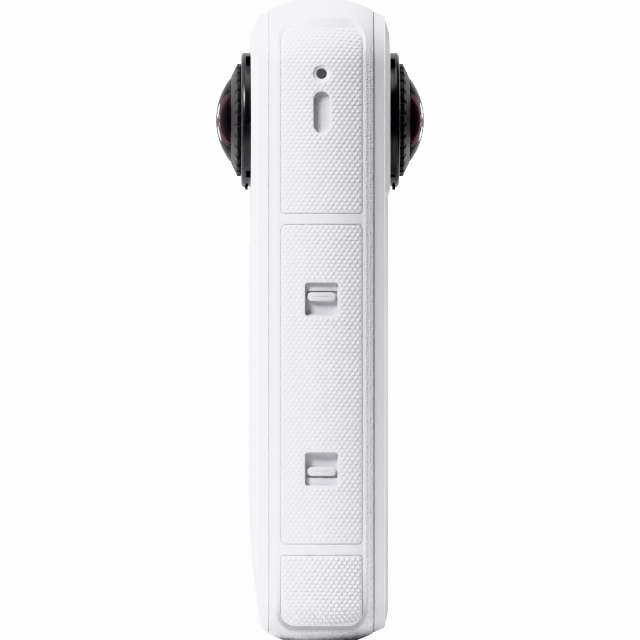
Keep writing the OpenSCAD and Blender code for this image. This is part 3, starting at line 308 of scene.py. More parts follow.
# Skirt of a tile: rings given as (step outward, depth added).
def plainSkirt(*steps):
    return lambda a, b, k, na, nb: [(a + na * out, b + nb * out, k + deeper) for out, deeper in steps]


def addObject(name, data):
    item = bpy.data.objects.new(name, data)
    bpy.context.collection.objects.link(item)
    return item


# Joins patches into one mesh, in metres, and hangs it on its body with the slot's look or its own.
def makePiece(name, patches, ride, slot, stands=(), look=None, solid=False, sharp=40):
    offsets = np.cumsum([0] + [len(p) for p, _ in patches])
    points = np.concatenate([p for p, _ in patches]) * 0.001
    faces = np.concatenate([f + o for (_, f), o in zip(patches, offsets)])
    mesh = bpy.data.meshes.new(name)
    mesh.from_pydata(points.tolist(), [], faces.tolist())
    mesh.validate()
    work = bmesh.new()
    work.from_mesh(mesh)
    bmesh.ops.remove_doubles(work, verts=work.verts, dist=5e-7)
    if solid:
        bmesh.ops.recalc_face_normals(work, faces=work.faces)
    work.to_mesh(mesh)
    work.free()
    mesh.shade_smooth()
    mesh.set_sharp_from_angle(angle=radians(sharp))
    piece = addObject(name, mesh)
    mesh.materials.append(look or looks[slot])
    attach(piece, ride)
    if stands:
        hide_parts(*stands)
    return piece


# Shader helpers: nodes by kind, values by socket, a ramp's range and a link.
def addNodes(tree, *kinds):
    return [tree.nodes.new("ShaderNode" + kind) for kind in kinds]


def setInputs(node, **values):
    for socket, value in values.items():
        node.inputs[socket.replace("_", " ")].default_value = value


def setRange(ramp, low, high, first=0, last=1):
    setInputs(ramp, From_Min=low, From_Max=high, To_Min=first, To_Max=last)


def wire(source, out, target, into):
    source.id_data.links.new(source.outputs[out], target.inputs[into])


# Shader group: soft mottling and a fine grain as a bump, both from object coordinates.
grain = bpy.data.node_groups.new("grain", "ShaderNodeTree")
sockets = (("Scale", "Float", "INPUT"), ("Depth", "Float", "INPUT"),
           ("Mottle", "Float", "OUTPUT"), ("Normal", "Vector", "OUTPUT"))
for name, kind, way in sockets:
    grain.interface.new_socket(name=name, in_out=way, socket_type="NodeSocket" + kind)
inward, outward = grain.nodes.new("NodeGroupInput"), grain.nodes.new("NodeGroupOutput")
place, slow, fine, bump = addNodes(grain, "TexCoord", "TexNoise", "TexNoise", "Bump")
setInputs(slow, Scale=90, Detail=3)
setInputs(fine, Detail=2)
setInputs(bump, Distance=0.00004)
for node in (slow, fine):
    wire(place, "Object", node, "Vector")
wire(inward, "Scale", fine, "Scale")
wire(inward, "Depth", bump, "Strength")
wire(fine, "Fac", bump, "Height")
wire(slow, "Fac", outward, "Mottle")
wire(bump, "Normal", outward, "Normal")


# Material: two close colours mixed by the mottling, with the grain on its normal.
def surface(name, light, dark, rough, scale, depth, fade=None, rim=None, **more):
    material = bpy.data.materials.new(name)
    material.use_nodes = True
    tree = material.node_tree
    shader = tree.nodes["Principled BSDF"]
    field, mix = addNodes(tree, "Group", "Mix")
    field.node_tree = grain
    mix.data_type = "RGBA"
    setInputs(field, Scale=scale, Depth=depth)
    setInputs(mix, A=(*dark, 1), B=(*light, 1))
    setInputs(shader, Roughness=rough, **more)
    wire(field, "Mottle", mix, "Factor")
    wire(mix, "Result", shader, "Base Color")
    wire(field, "Normal", shader, "Normal")
    if fade:  # the grain dies out between these heights
        place, split, ramp = addNodes(tree, "TexCoord", "SeparateXYZ", "MapRange")
        setRange(ramp, *fade, depth, 0.05)
        wire(place, "Object", split, "Vector")
        wire(split, "Z", ramp, "Value")
        wire(ramp, "Result", field, "Depth")
    if rim:  # painted reflection: the coating's magenta reflection is painted into the colour where the glass is seen edge-on
        view, ramp, paintedLight = addNodes(tree, "LayerWeight", "MapRange", "Mix")
        paintedLight.data_type = "RGBA"
        setInputs(paintedLight, B=(*rim, 1))
        setRange(ramp, 0.45, 0.95)
        wire(view, "Facing", ramp, "Value")
        wire(ramp, "Result", paintedLight, "Factor")
        wire(mix, "Result", paintedLight, "A")
        wire(paintedLight, "Result", shader, "Base Color")
    return material


# Fine stipple on the frame's strips and foot: raised cells of a near-regular lattice.
# The valley under the lower panels gets painted shade: its colour is greyed by the distance from their
# rounded outline. Sizes in metres.
dots = {"scale": 1900, "randomness": 0.35, "bump": 0.00009, "cell": (0.05, 0.55), "strips": (0.0075, 0.0078),
        "upper": (0.102, 0.107), "lower": (0.0020, 0.0026), "valley": (0.00045, 0.00105),
        "valleyFade": (0.003, 0.013), "valleyGrey": (0.47, 0.466, 0.485, 1), "far": 0.01}


def stippleAndValleyShade(material):
    tree = material.node_tree
    links, shader = tree.links, tree.nodes["Principled BSDF"]
    place, split, cells, bump = addNodes(tree, "TexCoord", "SeparateXYZ", "TexVoronoi", "Bump")
    setInputs(cells, Scale=dots["scale"], Randomness=dots["randomness"])
    setInputs(bump, Distance=dots["bump"])
    for node in (cells, split):
        wire(place, "Object", node, "Vector")

    def step(source, low, high, first, last):
        ramp = addNodes(tree, "MapRange")[0]
        setRange(ramp, low, high, first, last)
        links.new(source, ramp.inputs["Value"])
        return ramp.outputs["Result"]

    def join(kind, *sources):
        node = addNodes(tree, "Math")[0]
        node.operation = kind
        for socket, source in zip(node.inputs, sources):
            links.new(source, socket)
        return node.outputs["Value"]

    across, up = join("ABSOLUTE", split.outputs["X"]), split.outputs["Z"]
    strips = join("MULTIPLY", step(across, *dots["strips"], 0, 1), step(up, *dots["upper"], 1, 0))
    mask = join("MAXIMUM", strips, step(up, *dots["lower"], 1, 0))
    height = join("MULTIPLY", mask, step(cells.outputs["Distance"], *dots["cell"], 1, 0))
    links.new(height, bump.inputs["Height"])
    links.new(shader.inputs["Normal"].links[0].from_socket, bump.inputs["Normal"])
    wire(bump, "Normal", shader, "Normal")

    # Painted shade: the base colour is mixed towards grey in the valley under the lower panels, fading out
    # with height.
    bend, flank = body["zoneCorner"] / 1000, (zoneHalf - body["zoneCorner"]) / 1000
    sill, far = body["zoneBottom"] / 1000 + bend, dots["far"]
    away, length, paintedLight = addNodes(tree, "CombineXYZ", "VectorMath", "Mix")
    length.operation = "LENGTH"
    links.new(step(across, flank, flank + far, 0, far), away.inputs["X"])
    links.new(step(up, sill - far, sill, far, 0), away.inputs["Z"])
    wire(away, "Vector", length, 0)
    near, end = dots["valley"]
    valley = step(length.outputs["Value"], bend + near, bend + end, 1, 0)
    paintedLight.data_type = "RGBA"
    setInputs(paintedLight, B=dots["valleyGrey"])
    links.new(join("MULTIPLY", valley, step(up, *dots["valleyFade"], 1, 0)), paintedLight.inputs["Factor"])
    links.new(shader.inputs["Base Color"].links[0].from_socket, paintedLight.inputs["A"])
    wire(paintedLight, "Result", shader, "Base Color")


# Looks by the frame's material slots: light and dark colour, roughness, grain scale and depth.
looks = {}


def addLook(slot, *values, **more):
    looks[slot] = surface(slot.replace("_", " "), *values, **more)


addLook("frame_white", (0.8, 0.794, 0.825), (0.77, 0.764, 0.795), 0.42, 2600, 0.3, fade=(0.103, 0.109))
addLook("shell_white", (0.81, 0.805, 0.832), (0.78, 0.775, 0.8), 0.4, 2600, 0.1, Specular_IOR_Level=0.3)
for slot in ("grip_white", "door_white"):
    addLook(slot, (0.79, 0.784, 0.815), (0.76, 0.754, 0.785), 0.4, 2600, 0.1)
addLook("button_white", (0.8, 0.794, 0.825), (0.77, 0.764, 0.795), 0.38, 2600, 0.1)
addLook("lens_black", (0.012, 0.012, 0.013), (0.008, 0.008, 0.009), 0.28, 4000, 0.2, Specular_IOR_Level=0.6)
addLook("ring_black", (0.018, 0.018, 0.02), (0.012, 0.012, 0.013), 0.38, 4000, 0.25, Specular_IOR_Level=0.3)
# Dome glass: its rim colour is a painted reflection of the lens coating, where the glass is seen edge-on.
addLook("dome_glass", (0.06, 0.042, 0.048), (0.05, 0.034, 0.04), 0.01, 2000, 0.0, rim=(0.38, 0.09, 0.16),
        Transmission_Weight=1.0, IOR=1.18, Specular_IOR_Level=0.5)
addLook("lens_glass", (0.42, 0.3, 0.55), (0.36, 0.24, 0.5), 0.02, 2000, 0.0,
        Transmission_Weight=1.0, IOR=1.6)
addLook("screen_glass", (0.012, 0.012, 0.014), (0.009, 0.009, 0.01), 0.06, 2000, 0.0)
addLook("screen_dark", (0.016, 0.017, 0.022), (0.011, 0.012, 0.016), 0.3, 3000, 0.05)
addLook("chassis_metal", (0.36, 0.37, 0.38), (0.3, 0.31, 0.32), 0.45, 3500, 0.3, Metallic=1)
addLook("steel", (0.64, 0.64, 0.65), (0.55, 0.55, 0.56), 0.3, 3500, 0.15, Metallic=1)
addLook("mesh_light", (0.62, 0.615, 0.64), (0.57, 0.565, 0.59), 0.55, 6000, 0.6)
addLook("mesh_dark", (0.1, 0.1, 0.105), (0.07, 0.07, 0.075), 0.5, 6000, 0.6)
addLook("brass", (0.8, 0.62, 0.32), (0.72, 0.54, 0.26), 0.28, 3500, 0.15, Metallic=1)
addLook("copper", (0.75, 0.45, 0.31), (0.66, 0.38, 0.25), 0.32, 3500, 0.15, Metallic=1)
addLook("board_green", (0.05, 0.22, 0.1), (0.03, 0.17, 0.07), 0.38, 3000, 0.15)
addLook("seal_black", (0.03, 0.03, 0.03), (0.02, 0.02, 0.02), 0.6, 3000, 0.2)
addLook("seal_red", (0.52, 0.09, 0.06), (0.45, 0.07, 0.05), 0.55, 3000, 0.2)
addLook("pack_dark", (0.07, 0.07, 0.075), (0.05, 0.05, 0.055), 0.5, 3500, 0.35)
addLook("light_pipe", (0.72, 0.75, 0.77), (0.66, 0.69, 0.72), 0.2, 3000, 0.05)
stippleAndValleyShade(looks["frame_white"])
for part in frame["record"]["subparts"]:
    node = frame["nodes"][part["node"]]
    node.data.materials.clear()
    node.data.materials.append(looks[part["material_slot"]])
print("materials made")

# Frame band: loops round each side recess, out to the parting lines and the middle of the top.
band = {"sideBevel": 0.5, "topBevel": 1.95, "bottomBevel": 0.75, "edge": 0.12, "edgeDepth": 2.4,
        "footReach": 8.0, "footStep": 0.4, "footTuck": 0.2, "footSink": 0.45, "rest": 12, "step": 0.19,
        "arc": 22, "length": 600, "swingX": 7.2, "swingHalf": 14.3, "swingRoom": 1.7}
bandLimit = body["parting"] - band["edge"]


def bandSide(side):
    corner = body["zoneCorner"]
    x, z, na, nb = roundLoop((-zoneHalf, body["zoneBottom"]), (zoneHalf, body["zoneTop"]),
                             corner, corner, band["step"], band["arc"])
    s = pathOf(x, z)
    base, foot = panelDepth(x, z), clamp(-nb)
    tuck = band["footTuck"] * foot
    span = np.where(nb > 0, band["topBevel"], band["bottomBevel"])
    loops = []
    for e in (0, 0.06, 0.15, 0.3, 0.5, 0.7, 0.9, 0.97, 1.03, 1.15):
        bevel = base * (1 - clamp(e))
        loops.append((x + na * (e * band["sideBevel"] - tuck), s + nb * (e * span - tuck),
                      bevel * (1 - foot) + (base + band["footSink"]) * foot))
    startX, startS, _ = loops[-1]
    share = np.arctan2(np.abs(nb), np.abs(na)) / (pi / 2)
    high = pathOf(zoneHalf, body["zoneTop"] - corner)
    low = pathOf(zoneHalf, body["zoneBottom"] + corner)
    endX = np.where(np.abs(na) > tiny, np.sign(na) * bandLimit, x * bandLimit / (zoneHalf - corner))
    endS = np.where(nb < 0, low - share * (low - band["footReach"]), s)
    endS = np.where(nb > 0, high + share * (pathMarks[4] - high), endS)
    for t in np.linspace(0, 1, band["rest"])[1:]:
        px, ps = startX + (endX - startX) * t, startS + (endS - startS) * t
        loops.append((px, ps, (base + band["footSink"]) * foot * (1 - t)))
    patches = [loft([bandPoint(px, ps, k, side) for px, ps, k in loops], side > 0)]
    start = base + band["footSink"] * foot
    swing = (side > 0) * (x > band["swingX"]) * (np.abs(z - portMiddle) < band["swingHalf"])
    rings = []
    for step, d in ((0, 0.0), (0.012, 0.02), (0.02, 0.07), (0.02, 0.22), (0.1, 0.24), (0.1, 1.75)):
        inset = tuck + step * (1 - swing)  # the door's swing needs the ledge's room
        depth = start + d + band["swingRoom"] * swing * (d > 1)
        rings.append(bandPoint(x - na * inset, s - nb * inset, depth, side))
    return patches + [loft(rings, side < 0)]


# Edge along a parting line: a small round turned in from the band's surface.
def bandEdge(end):
    count = band["length"]
    s = np.concatenate([np.linspace(0, pathMarks[-1], count), np.linspace(pathMarks[-1], 0, count)[1:-1]])
    side = np.where(np.arange(len(s)) < count, -1, 1)
    profile = filleted([(-band["edge"] - 0.02, 0.0), (0, 0.0), (0, band["edgeDepth"])], [band["edge"]], 6)
    rings = [bandPoint(end * (body["parting"] + o) + 0 * s, s, k + 0 * s, side) for o, k in profile]
    return loft(rings, end < 0)


# Underside between the two sides, with the hole for the tripod insert.
def footTile():
    def place(a, b, k):
        lift = np.maximum(-body["footCut"] - crownDrop(a, 0), 0)
        return xyz(a + 0 * b, b + 0 * a, lift + k)
    reach = band["footReach"]
    spec = (-bandLimit, -reach), (bandLimit, reach), 0, 0, band["footStep"]
    hole = (disc(0, 0, body["insertHole"]), holeWall((0.03, 0.03), (0.03, 2.5)))
    return tile(spec, place, lambda a, b: 0 * a, plainSkirt((0, 0.01)), [hole], True)


# Bridge: plain strip between two panels, a little rounded at its long edges.
bridge = {"overlap": 0.02, "edge": 0.05, "step": 0.2}


def bridgeTile(low, high, side):
    half, edge = zoneHalf + bridge["overlap"], bridge["edge"]
    spec = (-half, low + edge), (half, high - edge), 0, 0, bridge["step"]

    def skirt(a, b, k, na, nb):
        steps = ((0.025, 0.008), (0.045, 0.03), (0.05, 0.06), (0.05, 0.24), (0.13, 0.26), (0.13, 1.4))
        return [(a, b + nb * o, k + d) for o, d in steps]
    return tile(spec, lambda a, b, k: sidePoint(a, b, k, side), lambda a, b: panelDepth(a), skirt,
                flip=side > 0)


# Pockets behind the battery cover and the port door, and the door's hinge.
pocket = {"inset": 0.02, "doorRound": 1.02, "gripRound": 0.62, "arc": 17}
bay = {"half": 6.5, "rise": 26.65, "round": 0.5, "ledge": 1.67,
       "plugGap": 0.25, "plugRound": 0.3, "plugY": 19.25}
port = {"half": 4.1, "rise": 7.1, "round": 0.5, "ledge": 1.45, "fall": 2.0, "floorY": 20.0,
        "socketHalf": 1.705, "socketRise": 4.545, "socketRound": 1.7}
hinge = {"x": 6.08, "y": 20.736, "radius": 0.9, "length": 1.8}


# Pocket corner: the sliver between an arc and the square corner, with a wall at the arc.
def pocketCorner(x, z, r, alongX, alongZ, side):
    t = np.linspace(tiny, pi / 2 - tiny, pocket["arc"])
    corner = lambda p, q, k: (x + alongX * p, z + alongZ * q, k)
    arc = lambda inset, k: corner((r - inset) * np.cos(t) - r, (r - inset) * np.sin(t) - r, k)
    square = corner(r * np.minimum(0, 1 / np.tan(t) - 1), r * np.minimum(0, np.tan(t) - 1), 0.0)
    rings = [square, arc(0, 0.0), arc(0.02, 0.05), arc(0.02, 0.24), arc(0.1, 0.26)]
    points = np.stack([sidePoint(px, pz, panelDepth(px) + k, side) for px, pz, k in rings])
    flip = (alongX * alongZ * side) > 0
    return points.reshape(-1, 3), gridFaces(len(rings), len(t), False, flip)


# Ledge: from the door's outline to an opening, then straight in to flat depths. With a fall it slopes
# down past the opening, to leave room for a hinge.
def ledge(outer, inner, depth, side, floors, fall=0.0):
    start = inner[0].max()
    slope = clamp((outer[0] - start) / (outer[0].max() - start))
    rings = [loopPoint(outer, depth + fall * slope, side), loopPoint(inner, depth, side)]
    return loft(rings + [levelPoint(loop, side * y) for loop, y in floors], side < 0)


# Knuckle: a closed cylinder about the hinge's axis.
def knuckle(low, high, count=40):
    t = np.arange(count) * tau / count
    x, y, r = np.cos(t), np.sin(t), hinge["radius"]
    hoop = lambda out, z: xyz(hinge["x"] + out * x, hinge["y"] + out * y, z + 0 * t)
    return loft([hoop(0, low), hoop(r, low), hoop(r, high), hoop(0, high)], True)


# Bridges, pocket corners and outline of the opening for a door on one side.
def doorway(middle, rise, side):
    gap, strip, bottom, top = body["panelGap"], body["bridge"], middle - rise, middle + rise
    patches = bridgeTile(bottom - strip, bottom - gap, side) + bridgeTile(top + gap, top + strip, side)
    for along in (-1, 1):
        edges = [(bottom - strip, pocket["gripRound"], 1), (top + strip, pocket["gripRound"], -1)]
        if side < 0 or along < 0:  # the pocket stays square beside the hinge
            edges += [(bottom - gap, pocket["doorRound"], -1), (top + gap, pocket["doorRound"], 1)]
        patches += [pocketCorner(along * zoneHalf, z, r, along, up, side) for z, r, up in edges]
    return patches, evenLoop(zoneHalf - pocket["inset"], middle, rise + gap, doorCorner)


doorEdges, doorLoop = doorway(doorMiddle, doorRise, -1)
portEdges, portLoop = doorway(portMiddle, portRise, 1)
mouthLoop = evenLoop(bay["half"], doorMiddle, bay["rise"], bay["round"])
recessLoop = evenLoop(port["half"], portMiddle, port["rise"], port["round"])
socketLoop = evenLoop(port["socketHalf"], portMiddle, port["socketRise"], port["socketRound"])
portFloors = [(recessLoop, port["floorY"]), (socketLoop, port["floorY"]), (socketLoop, body["innerY"])]
bandPatches = bandSide(-1) + bandSide(1) + [bandEdge(-1), bandEdge(1)] + footTile() + doorEdges + portEdges
bandPatches.append(ledge(doorLoop, mouthLoop, bay["ledge"], -1, [(mouthLoop, body["innerY"])]))
bandPatches.append(ledge(portLoop, recessLoop, port["ledge"], 1, portFloors, port["fall"]))
for low in (body["portBottom"], body["portTop"] - hinge["length"]):
    bandPatches.append(knuckle(low, low + hinge["length"]))
makePiece("frame_band", bandPatches, "camera_body", "frame_white", ["mid_frame"])
print("frame band made")

# Grip texture: staggered rows of small raised triangles, each a cut-off pyramid.
knurl = {"pitch": 0.94, "row": 0.68, "height": 0.115, "flat": 0.5, "step": 0.116, "edge": 0.06,
         "edgeFade": 0.3, "edgeBare": 0.4, "holeBare": 0.3, "footGain": 0.8, "gainFade": 3.0,
         "footRoll": 0.05, "rollWidth": 0.7, "rollTop": 3.5, "rollFade": 2.5, "anyDepth": 9.0}


def triangles(a, b):
    row = b / knurl["row"]
    up = row % 1
    across = (a / knurl["pitch"] + 0.5 * (np.floor(row) % 2)) % 1 - 0.5
    least = np.minimum(up, (1 - up) / 2 - np.abs(across))
    return clamp(3 * least / knurl["flat"])


# Textured panel: higher triangles and a rolled edge towards the foot. deepest limits how far the skirt
# goes in, and lower adds depth across the panel.
def panelTile(low, high, bottomR, topR, side, holes=(), right=panelHalf,
              deepest=lambda a: knurl["anyDepth"], lower=lambda a: 0.0):
    edge, left = knurl["edge"], -panelHalf
    spec = (left + edge, low + edge), (right - edge, high - edge), bottomR - edge, topR - edge, knurl["step"]
    middle = (low + high) / 2
    frames = [plate((left + right) / 2, middle, right - left, high - low, r) for r in (bottomR, topR)]

    def depth(a, b):
        inside = np.where(b < middle, *[edgeDistance(a, b, outline) for outline in frames])
        fade = clamp(-inside / knurl["edgeFade"] - knurl["edgeBare"])
        for hole, _ in holes:
            away = edgeDistance(a, b, hole)
            fade = fade * clamp(away / knurl["edgeFade"] - knurl["holeBare"])
        roll = clamp(1 + inside / knurl["rollWidth"]) ** 2
        roll = roll * clamp((body["zoneBottom"] + knurl["rollTop"] - b) / knurl["rollFade"])
        gain = 1 + knurl["footGain"] * clamp((body["doorBottom"] - b) / knurl["gainFade"])
        plain = panelDepth(a, b) + lower(a) + knurl["footRoll"] * roll
        return plain - knurl["height"] * gain * triangles(a, pathOf(a, b)) * fade

    def skirt(a, b, k, na, nb):
        steps = ((0.03, 0.008), (0.05, 0.03), (edge, 0.06), (edge, 1.0))
        return [(a + na * o, b + nb * o, np.minimum(k + d, deepest(a))) for o, d in steps]
    return tile(spec, lambda a, b, k: sidePoint(a, b, k, side), depth, skirt, holes, side > 0)


# Side grips, with the microphone dish, the speaker slot and the holes for the two side keys.
grip = {"micR": 1.55, "slotZ": 93.2, "slotW": 2.95, "slotH": 7.45, "keyW": 4.3, "keyH": 8.8, "keyOffset": 5.5}
slotRim = ((0.03, 0.02), (0.05, 0.06))
micDish = (disc(0, body["micZ"], grip["micR"]),
           holeWall((0.04, 0.05), (0.1, 0.12), (0.4, 0.26), (0.6, 0.30), (0.62, 0.34), (0.62, 1.2)))
speakerSlot = (pill(0, grip["slotZ"], grip["slotW"], grip["slotH"]), holeWall(*slotRim, (0.05, 1.5)))
keyMiddle = (body["doorTop"] + body["micZ"]) / 2
keyHoles = [(pill(0, keyMiddle + way * grip["keyOffset"], grip["keyW"], grip["keyH"]),
             holeWall(*slotRim, (0.05, 1.2))) for way in (-1, 1)]


def makeGrips(name, side, bottom, top, holes):
    gap, corner = body["panelGap"], body["zoneCorner"] - body["panelGap"]
    reach = body["bridge"] + gap
    panels = {"upper": (top + reach, body["zoneTop"] - gap, body["gripCorner"], corner, side, holes),
              "lower": (body["zoneBottom"] + gap, bottom - reach, corner, body["gripCorner"], side)}
    for place, spec in panels.items():
        node = f"{name}_side_{place}_grip"
        makePiece(node + "_skin", panelTile(*spec), "camera_body", "grip_white", [node])


makeGrips("battery", -1, body["doorBottom"], body["doorTop"], [micDish, speakerSlot])
makeGrips("port", 1, body["portBottom"], body["portTop"], [micDish] + keyHoles)
print("side grips made")

# Battery cover with its two finger recesses, windows and the plug that closes the bay.
latch = {"offset": 14.95, "recess": 6.0, "round": 0.6, "depth": 0.8, "windowHalf": 2.775,
         "windowLow": -2.65, "windowHigh": 1.5, "windowDepth": 0.75, "nubAt": 0.45, "nubW": 5.05, "nubH": 1.6,
         "nubRound": 0.79, "nubDepth": 0.75, "plateHalf": 3.12, "plateNear": 11.7, "plateFar": 18.95,
         "barHalf": 2.0, "barFar": 27.9, "barInset": 0.01, "outerY": -21.2, "innerY": -19.3}


def recess(turn):
    def wall(hole, ha, hb, hk):
        rings = holeWall((0.03, 0.015), (0.06, 0.05), (0.07, latch["depth"]))(hole, ha, hb, hk)
        floor = body["zoneDepth"] + latch["depth"] + 0 * hk
        low, high = sorted((turn * latch["windowLow"], turn * latch["windowHigh"]))
        reach = np.minimum(latch["windowHalf"] / np.maximum(np.abs(ha), tiny),
                           np.where(hb > 0, high, -low) / np.maximum(np.abs(hb), tiny))
        wa, wb = ha * reach + hole["a"], hb * reach + hole["b"]
        return rings + [(wa, wb, floor + d) for d in (0, 0.03, latch["windowDepth"])]
    at, size = doorMiddle + turn * latch["offset"], latch["recess"]
    return plate(0, at, size, size, latch["round"]), wall


coverPatches = panelTile(body["doorBottom"], body["doorTop"], doorCorner, doorCorner, -1,
                         [recess(1), recess(-1)])
coverLoop = evenLoop(panelHalf, doorMiddle, doorRise, doorCorner)
plugLoop = evenLoop(bay["half"] - bay["plugGap"], doorMiddle, bay["rise"] - bay["plugGap"], bay["plugRound"])
coverBack = [loopPoint(loop, body["panelBack"], -1) for loop in (coverLoop, plugLoop)]
coverPatches.append(loft(coverBack + [levelPoint(plugLoop, -bay["plugY"])]))
# A darker white for the latches and the latch recesses; on the recess walls and floor it is painted shade.
latchWhiteAndRecessShade = surface("latch white", (0.68, 0.674, 0.705), (0.65, 0.644, 0.675), 0.42, 2600, 0.1)
coverShape = coverPatches[:1] + coverPatches[3:]
makePiece("battery_cover_skin", coverShape, "battery", "door_white", ["battery_cover"])
makePiece("latch_recess_skin", coverPatches[1:3], "battery", "door_white", look=latchWhiteAndRecessShade)


# Latch: a nub with rounded rims on a sliding plate with a locking bar.
def latchPatches(turn):
    z = doorMiddle + turn * (latch["offset"] + latch["nubAt"])
    x, up, na, nb = evenLoop(latch["nubW"] / 2, z, latch["nubH"] / 2, latch["nubRound"])
    rim = ((0.7, -0.01), (0.3, 0), (0.16, 0.015), (0.06, 0.06), (0.015, 0.13), (0, 0.22), (0, 1.2))
    nub = []
    for inset, deep in rim:
        nub.append(sidePoint(x - na * inset, up - nb * inset, latch["nubDepth"] + deep + 0 * x, -1))
    nub.insert(0, nub[0] * [0.02, 1, 0] + [0, 0, z])

    def block(half, far, inset):
        low, high = sorted(doorMiddle + turn * end for end in (latch["plateNear"], far))
        return box((-half, latch["outerY"] + inset, low), (half, latch["innerY"] - inset, high))
    return [loft(nub), block(latch["plateHalf"], latch["plateFar"], 0),
            block(latch["barHalf"], latch["barFar"], latch["barInset"])]


# Springs: a wire swept along a helix, its rings set out along the radius and upwards.
spring = {"radius": 0.6, "wire": 0.14, "turns": 9, "perTurn": 24, "sides": 10, "y": -20.255, "near": 5.875,
          "length": 5.8, "travel": 2.1}


def springCoil(low, high):
    wire, sides = spring["wire"], spring["sides"]
    turn = np.linspace(0, tau * spring["turns"], spring["perTurn"] * spring["turns"])[:, None]
    around = np.arange(sides) * tau / sides
    thick = np.full(turn.shape, wire)
    thick[[0, -1]] = 0
    out = spring["radius"] + thick * np.cos(around)
    rise = np.linspace(low + wire, high - wire, len(turn))[:, None] + thick * np.sin(around)
    points = xyz(out * np.cos(turn), spring["y"] + out * np.sin(turn), rise)
    return points.reshape(-1, 3), gridFaces(len(turn), sides, True, False)


latches = (("upper_latch", 1), ("lower_latch", -1))
for name, turn in latches:
    makePiece(name + "_skin", latchPatches(turn), name + "_slider", "door_white", [name], latchWhiteAndRecessShade)
for name, turn in latches:
    near = doorMiddle + turn * spring["near"]
    ends = sorted((near, near + turn * spring["length"]))
    coil = makePiece(name + "_spring_skin", [springCoil(*ends)], "battery", "steel",
                     [name + "_spring"], solid=True)
    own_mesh(coil)

# Port door: the same textured panel, a knuckle along its hinge edge and a closed back.
door = {"clear": 0.025, "thin": 0.17, "thinFrom": 3.0, "backShare": 0.6}


# Over its hinge it stays outside a circle round the pin, to clear the frame's knuckles.
def doorDepth(x):
    clear = hinge["radius"] + door["clear"]
    reach = hinge["y"] + np.sqrt(np.clip(clear ** 2 - (x - hinge["x"]) ** 2, 0, None))
    depth = body["crown"] - np.hypot(reach - halfWidth + body["crown"], x)
    return np.where(x > hinge["x"] - clear, depth, knurl["anyDepth"])


# Its face falls a little towards the hinge, by the square of the way there.
def doorFall(x):
    return door["thin"] * clamp((x - door["thinFrom"]) / (hinge["x"] - door["thinFrom"])) ** 2


doorPatches = panelTile(body["portBottom"], body["portTop"], doorCorner, doorCorner, 1,
                        right=hinge["x"], deepest=doorDepth, lower=doorFall)
backLoop = evenLoop((hinge["x"] + panelHalf) / 2, portMiddle, portRise, doorCorner,
                    shift=(hinge["x"] - panelHalf) / 2)
innerLoop = (backLoop[0] * door["backShare"], portMiddle + (backLoop[1] - portMiddle) * door["backShare"])
back = loopPoint(backLoop, np.minimum(body["panelBack"], doorDepth(backLoop[0])), 1)
inner = loopPoint(innerLoop, body["panelBack"], 1)
doorPatches.append(loft([back, inner, inner * 0 + inner.mean(axis=0)], True))
knuckleReach = portRise - hinge["length"] - body["panelGap"]
doorPatches.append(knuckle(portMiddle - knuckleReach, portMiddle + knuckleReach))
makePiece("usb_door_skin", doorPatches, "port_cover", "door_white", ["usb_door"])
print("doors and latches made")

# Shells: a face with its openings and a skirt over bevel, crease and side wall to the parting line.
shell = {"lip": 2.42, "lean": 0.9, "rim": 0.1, "crease": 0.03, "gap": 0.1, "groove": 0.45, "grooveFoot": 0.5,
         "grooveDepth": 0.3, "bevel": 3.3, "blend": 3.0, "step": 0.3, "openGap": 0.12, "lensHole": 10.45,
         "frontFace": 12.3, "frontSide": 1.85, "frontInset": 7.15, "toeStart": 30.0, "toeRadius": 200.0,
         "rearFace": 12.2, "rearSide": 2.0, "rearInset": 6.98, "screenFace": 11.9, "stepLow": 78.5,
         "stepLength": 1.0, "lightZ": 75.0, "lightHole": 1.05, "keyY": 8.0, "keyZ": 14.3, "keyHole": 4.35}
pad = {"width": 30.4, "low": 10.0, "high": 70.5, "round": 3.0, "proud": 0.22, "sink": 0.06,
             "raise": 0.1, "edge": 0.12, "edgeBare": 0.6, "step": 0.165}
screen = {"middle": 48.75, "width": 31.0, "height": 52.5, "round": 2.5}


# Toe: the front face falls back towards its foot along a large circle.
def toe(z):
    return np.clip(shell["toeStart"] - z, 0, None) ** 2 / (2 * shell["toeRadius"])


# Reach of a shell's points, held at its face: the front's falls with the toe, the rear's eases up a step.
def frontPlace(a, b, w):
    over = np.maximum(w - shell["frontFace"], 0)
    x = -np.minimum(w, shell["frontFace"] - toe(b) + over)
    return xyz(x, a + 0 * w, b + 0 * w)


def rearPlace(a, b, w):
    t = clamp((b - shell["stepLow"]) / shell["stepLength"])
    limit = shell["screenFace"] + (shell["rearFace"] - shell["screenFace"]) * t * t * (3 - 2 * t)
    return xyz(np.minimum(w, limit), a + 0 * w, b + 0 * w)


def shellTile(face, sideHeight, inset, place, holes, flip):
    lip, parting, top = shell["lip"], body["parting"], body["parting"] + sideHeight
    crease = lip + shell["lean"]
    corners = [(inset, face), (crease + shell["bevel"], face), (crease - shell["rim"], top + shell["crease"]),
               (crease, top - shell["crease"]), (lip, parting + shell["gap"]),
               (lip + shell["groove"], parting + shell["gap"]),
               (lip + shell["grooveFoot"], parting - shell["grooveDepth"])]
    profile = filleted(corners, [shell["blend"], 0.04, 0.04, 0.08, 0.03], 7)[1:]
    spec = ((inset - halfWidth, inset - body["footCut"]),
            (halfWidth - inset, body["height"] - inset),
            bottomCorner - inset, topCorner - inset, shell["step"])

    def skirt(a, b, k, na, nb):
        limit = np.abs(place(a, b + nb * (inset - crease), face + 0 * a)[..., 0])
        rings = []
        for d, w in profile:  # above the toe's fall the skirt stays inside the crease
            out = inset - np.where(w > limit, max(d, crease), d)
            rings.append((a + na * out, b + nb * out, w + 0 * a))
        return rings
    return tile(spec, place, lambda a, b: face + 0 * a, skirt, holes, flip)


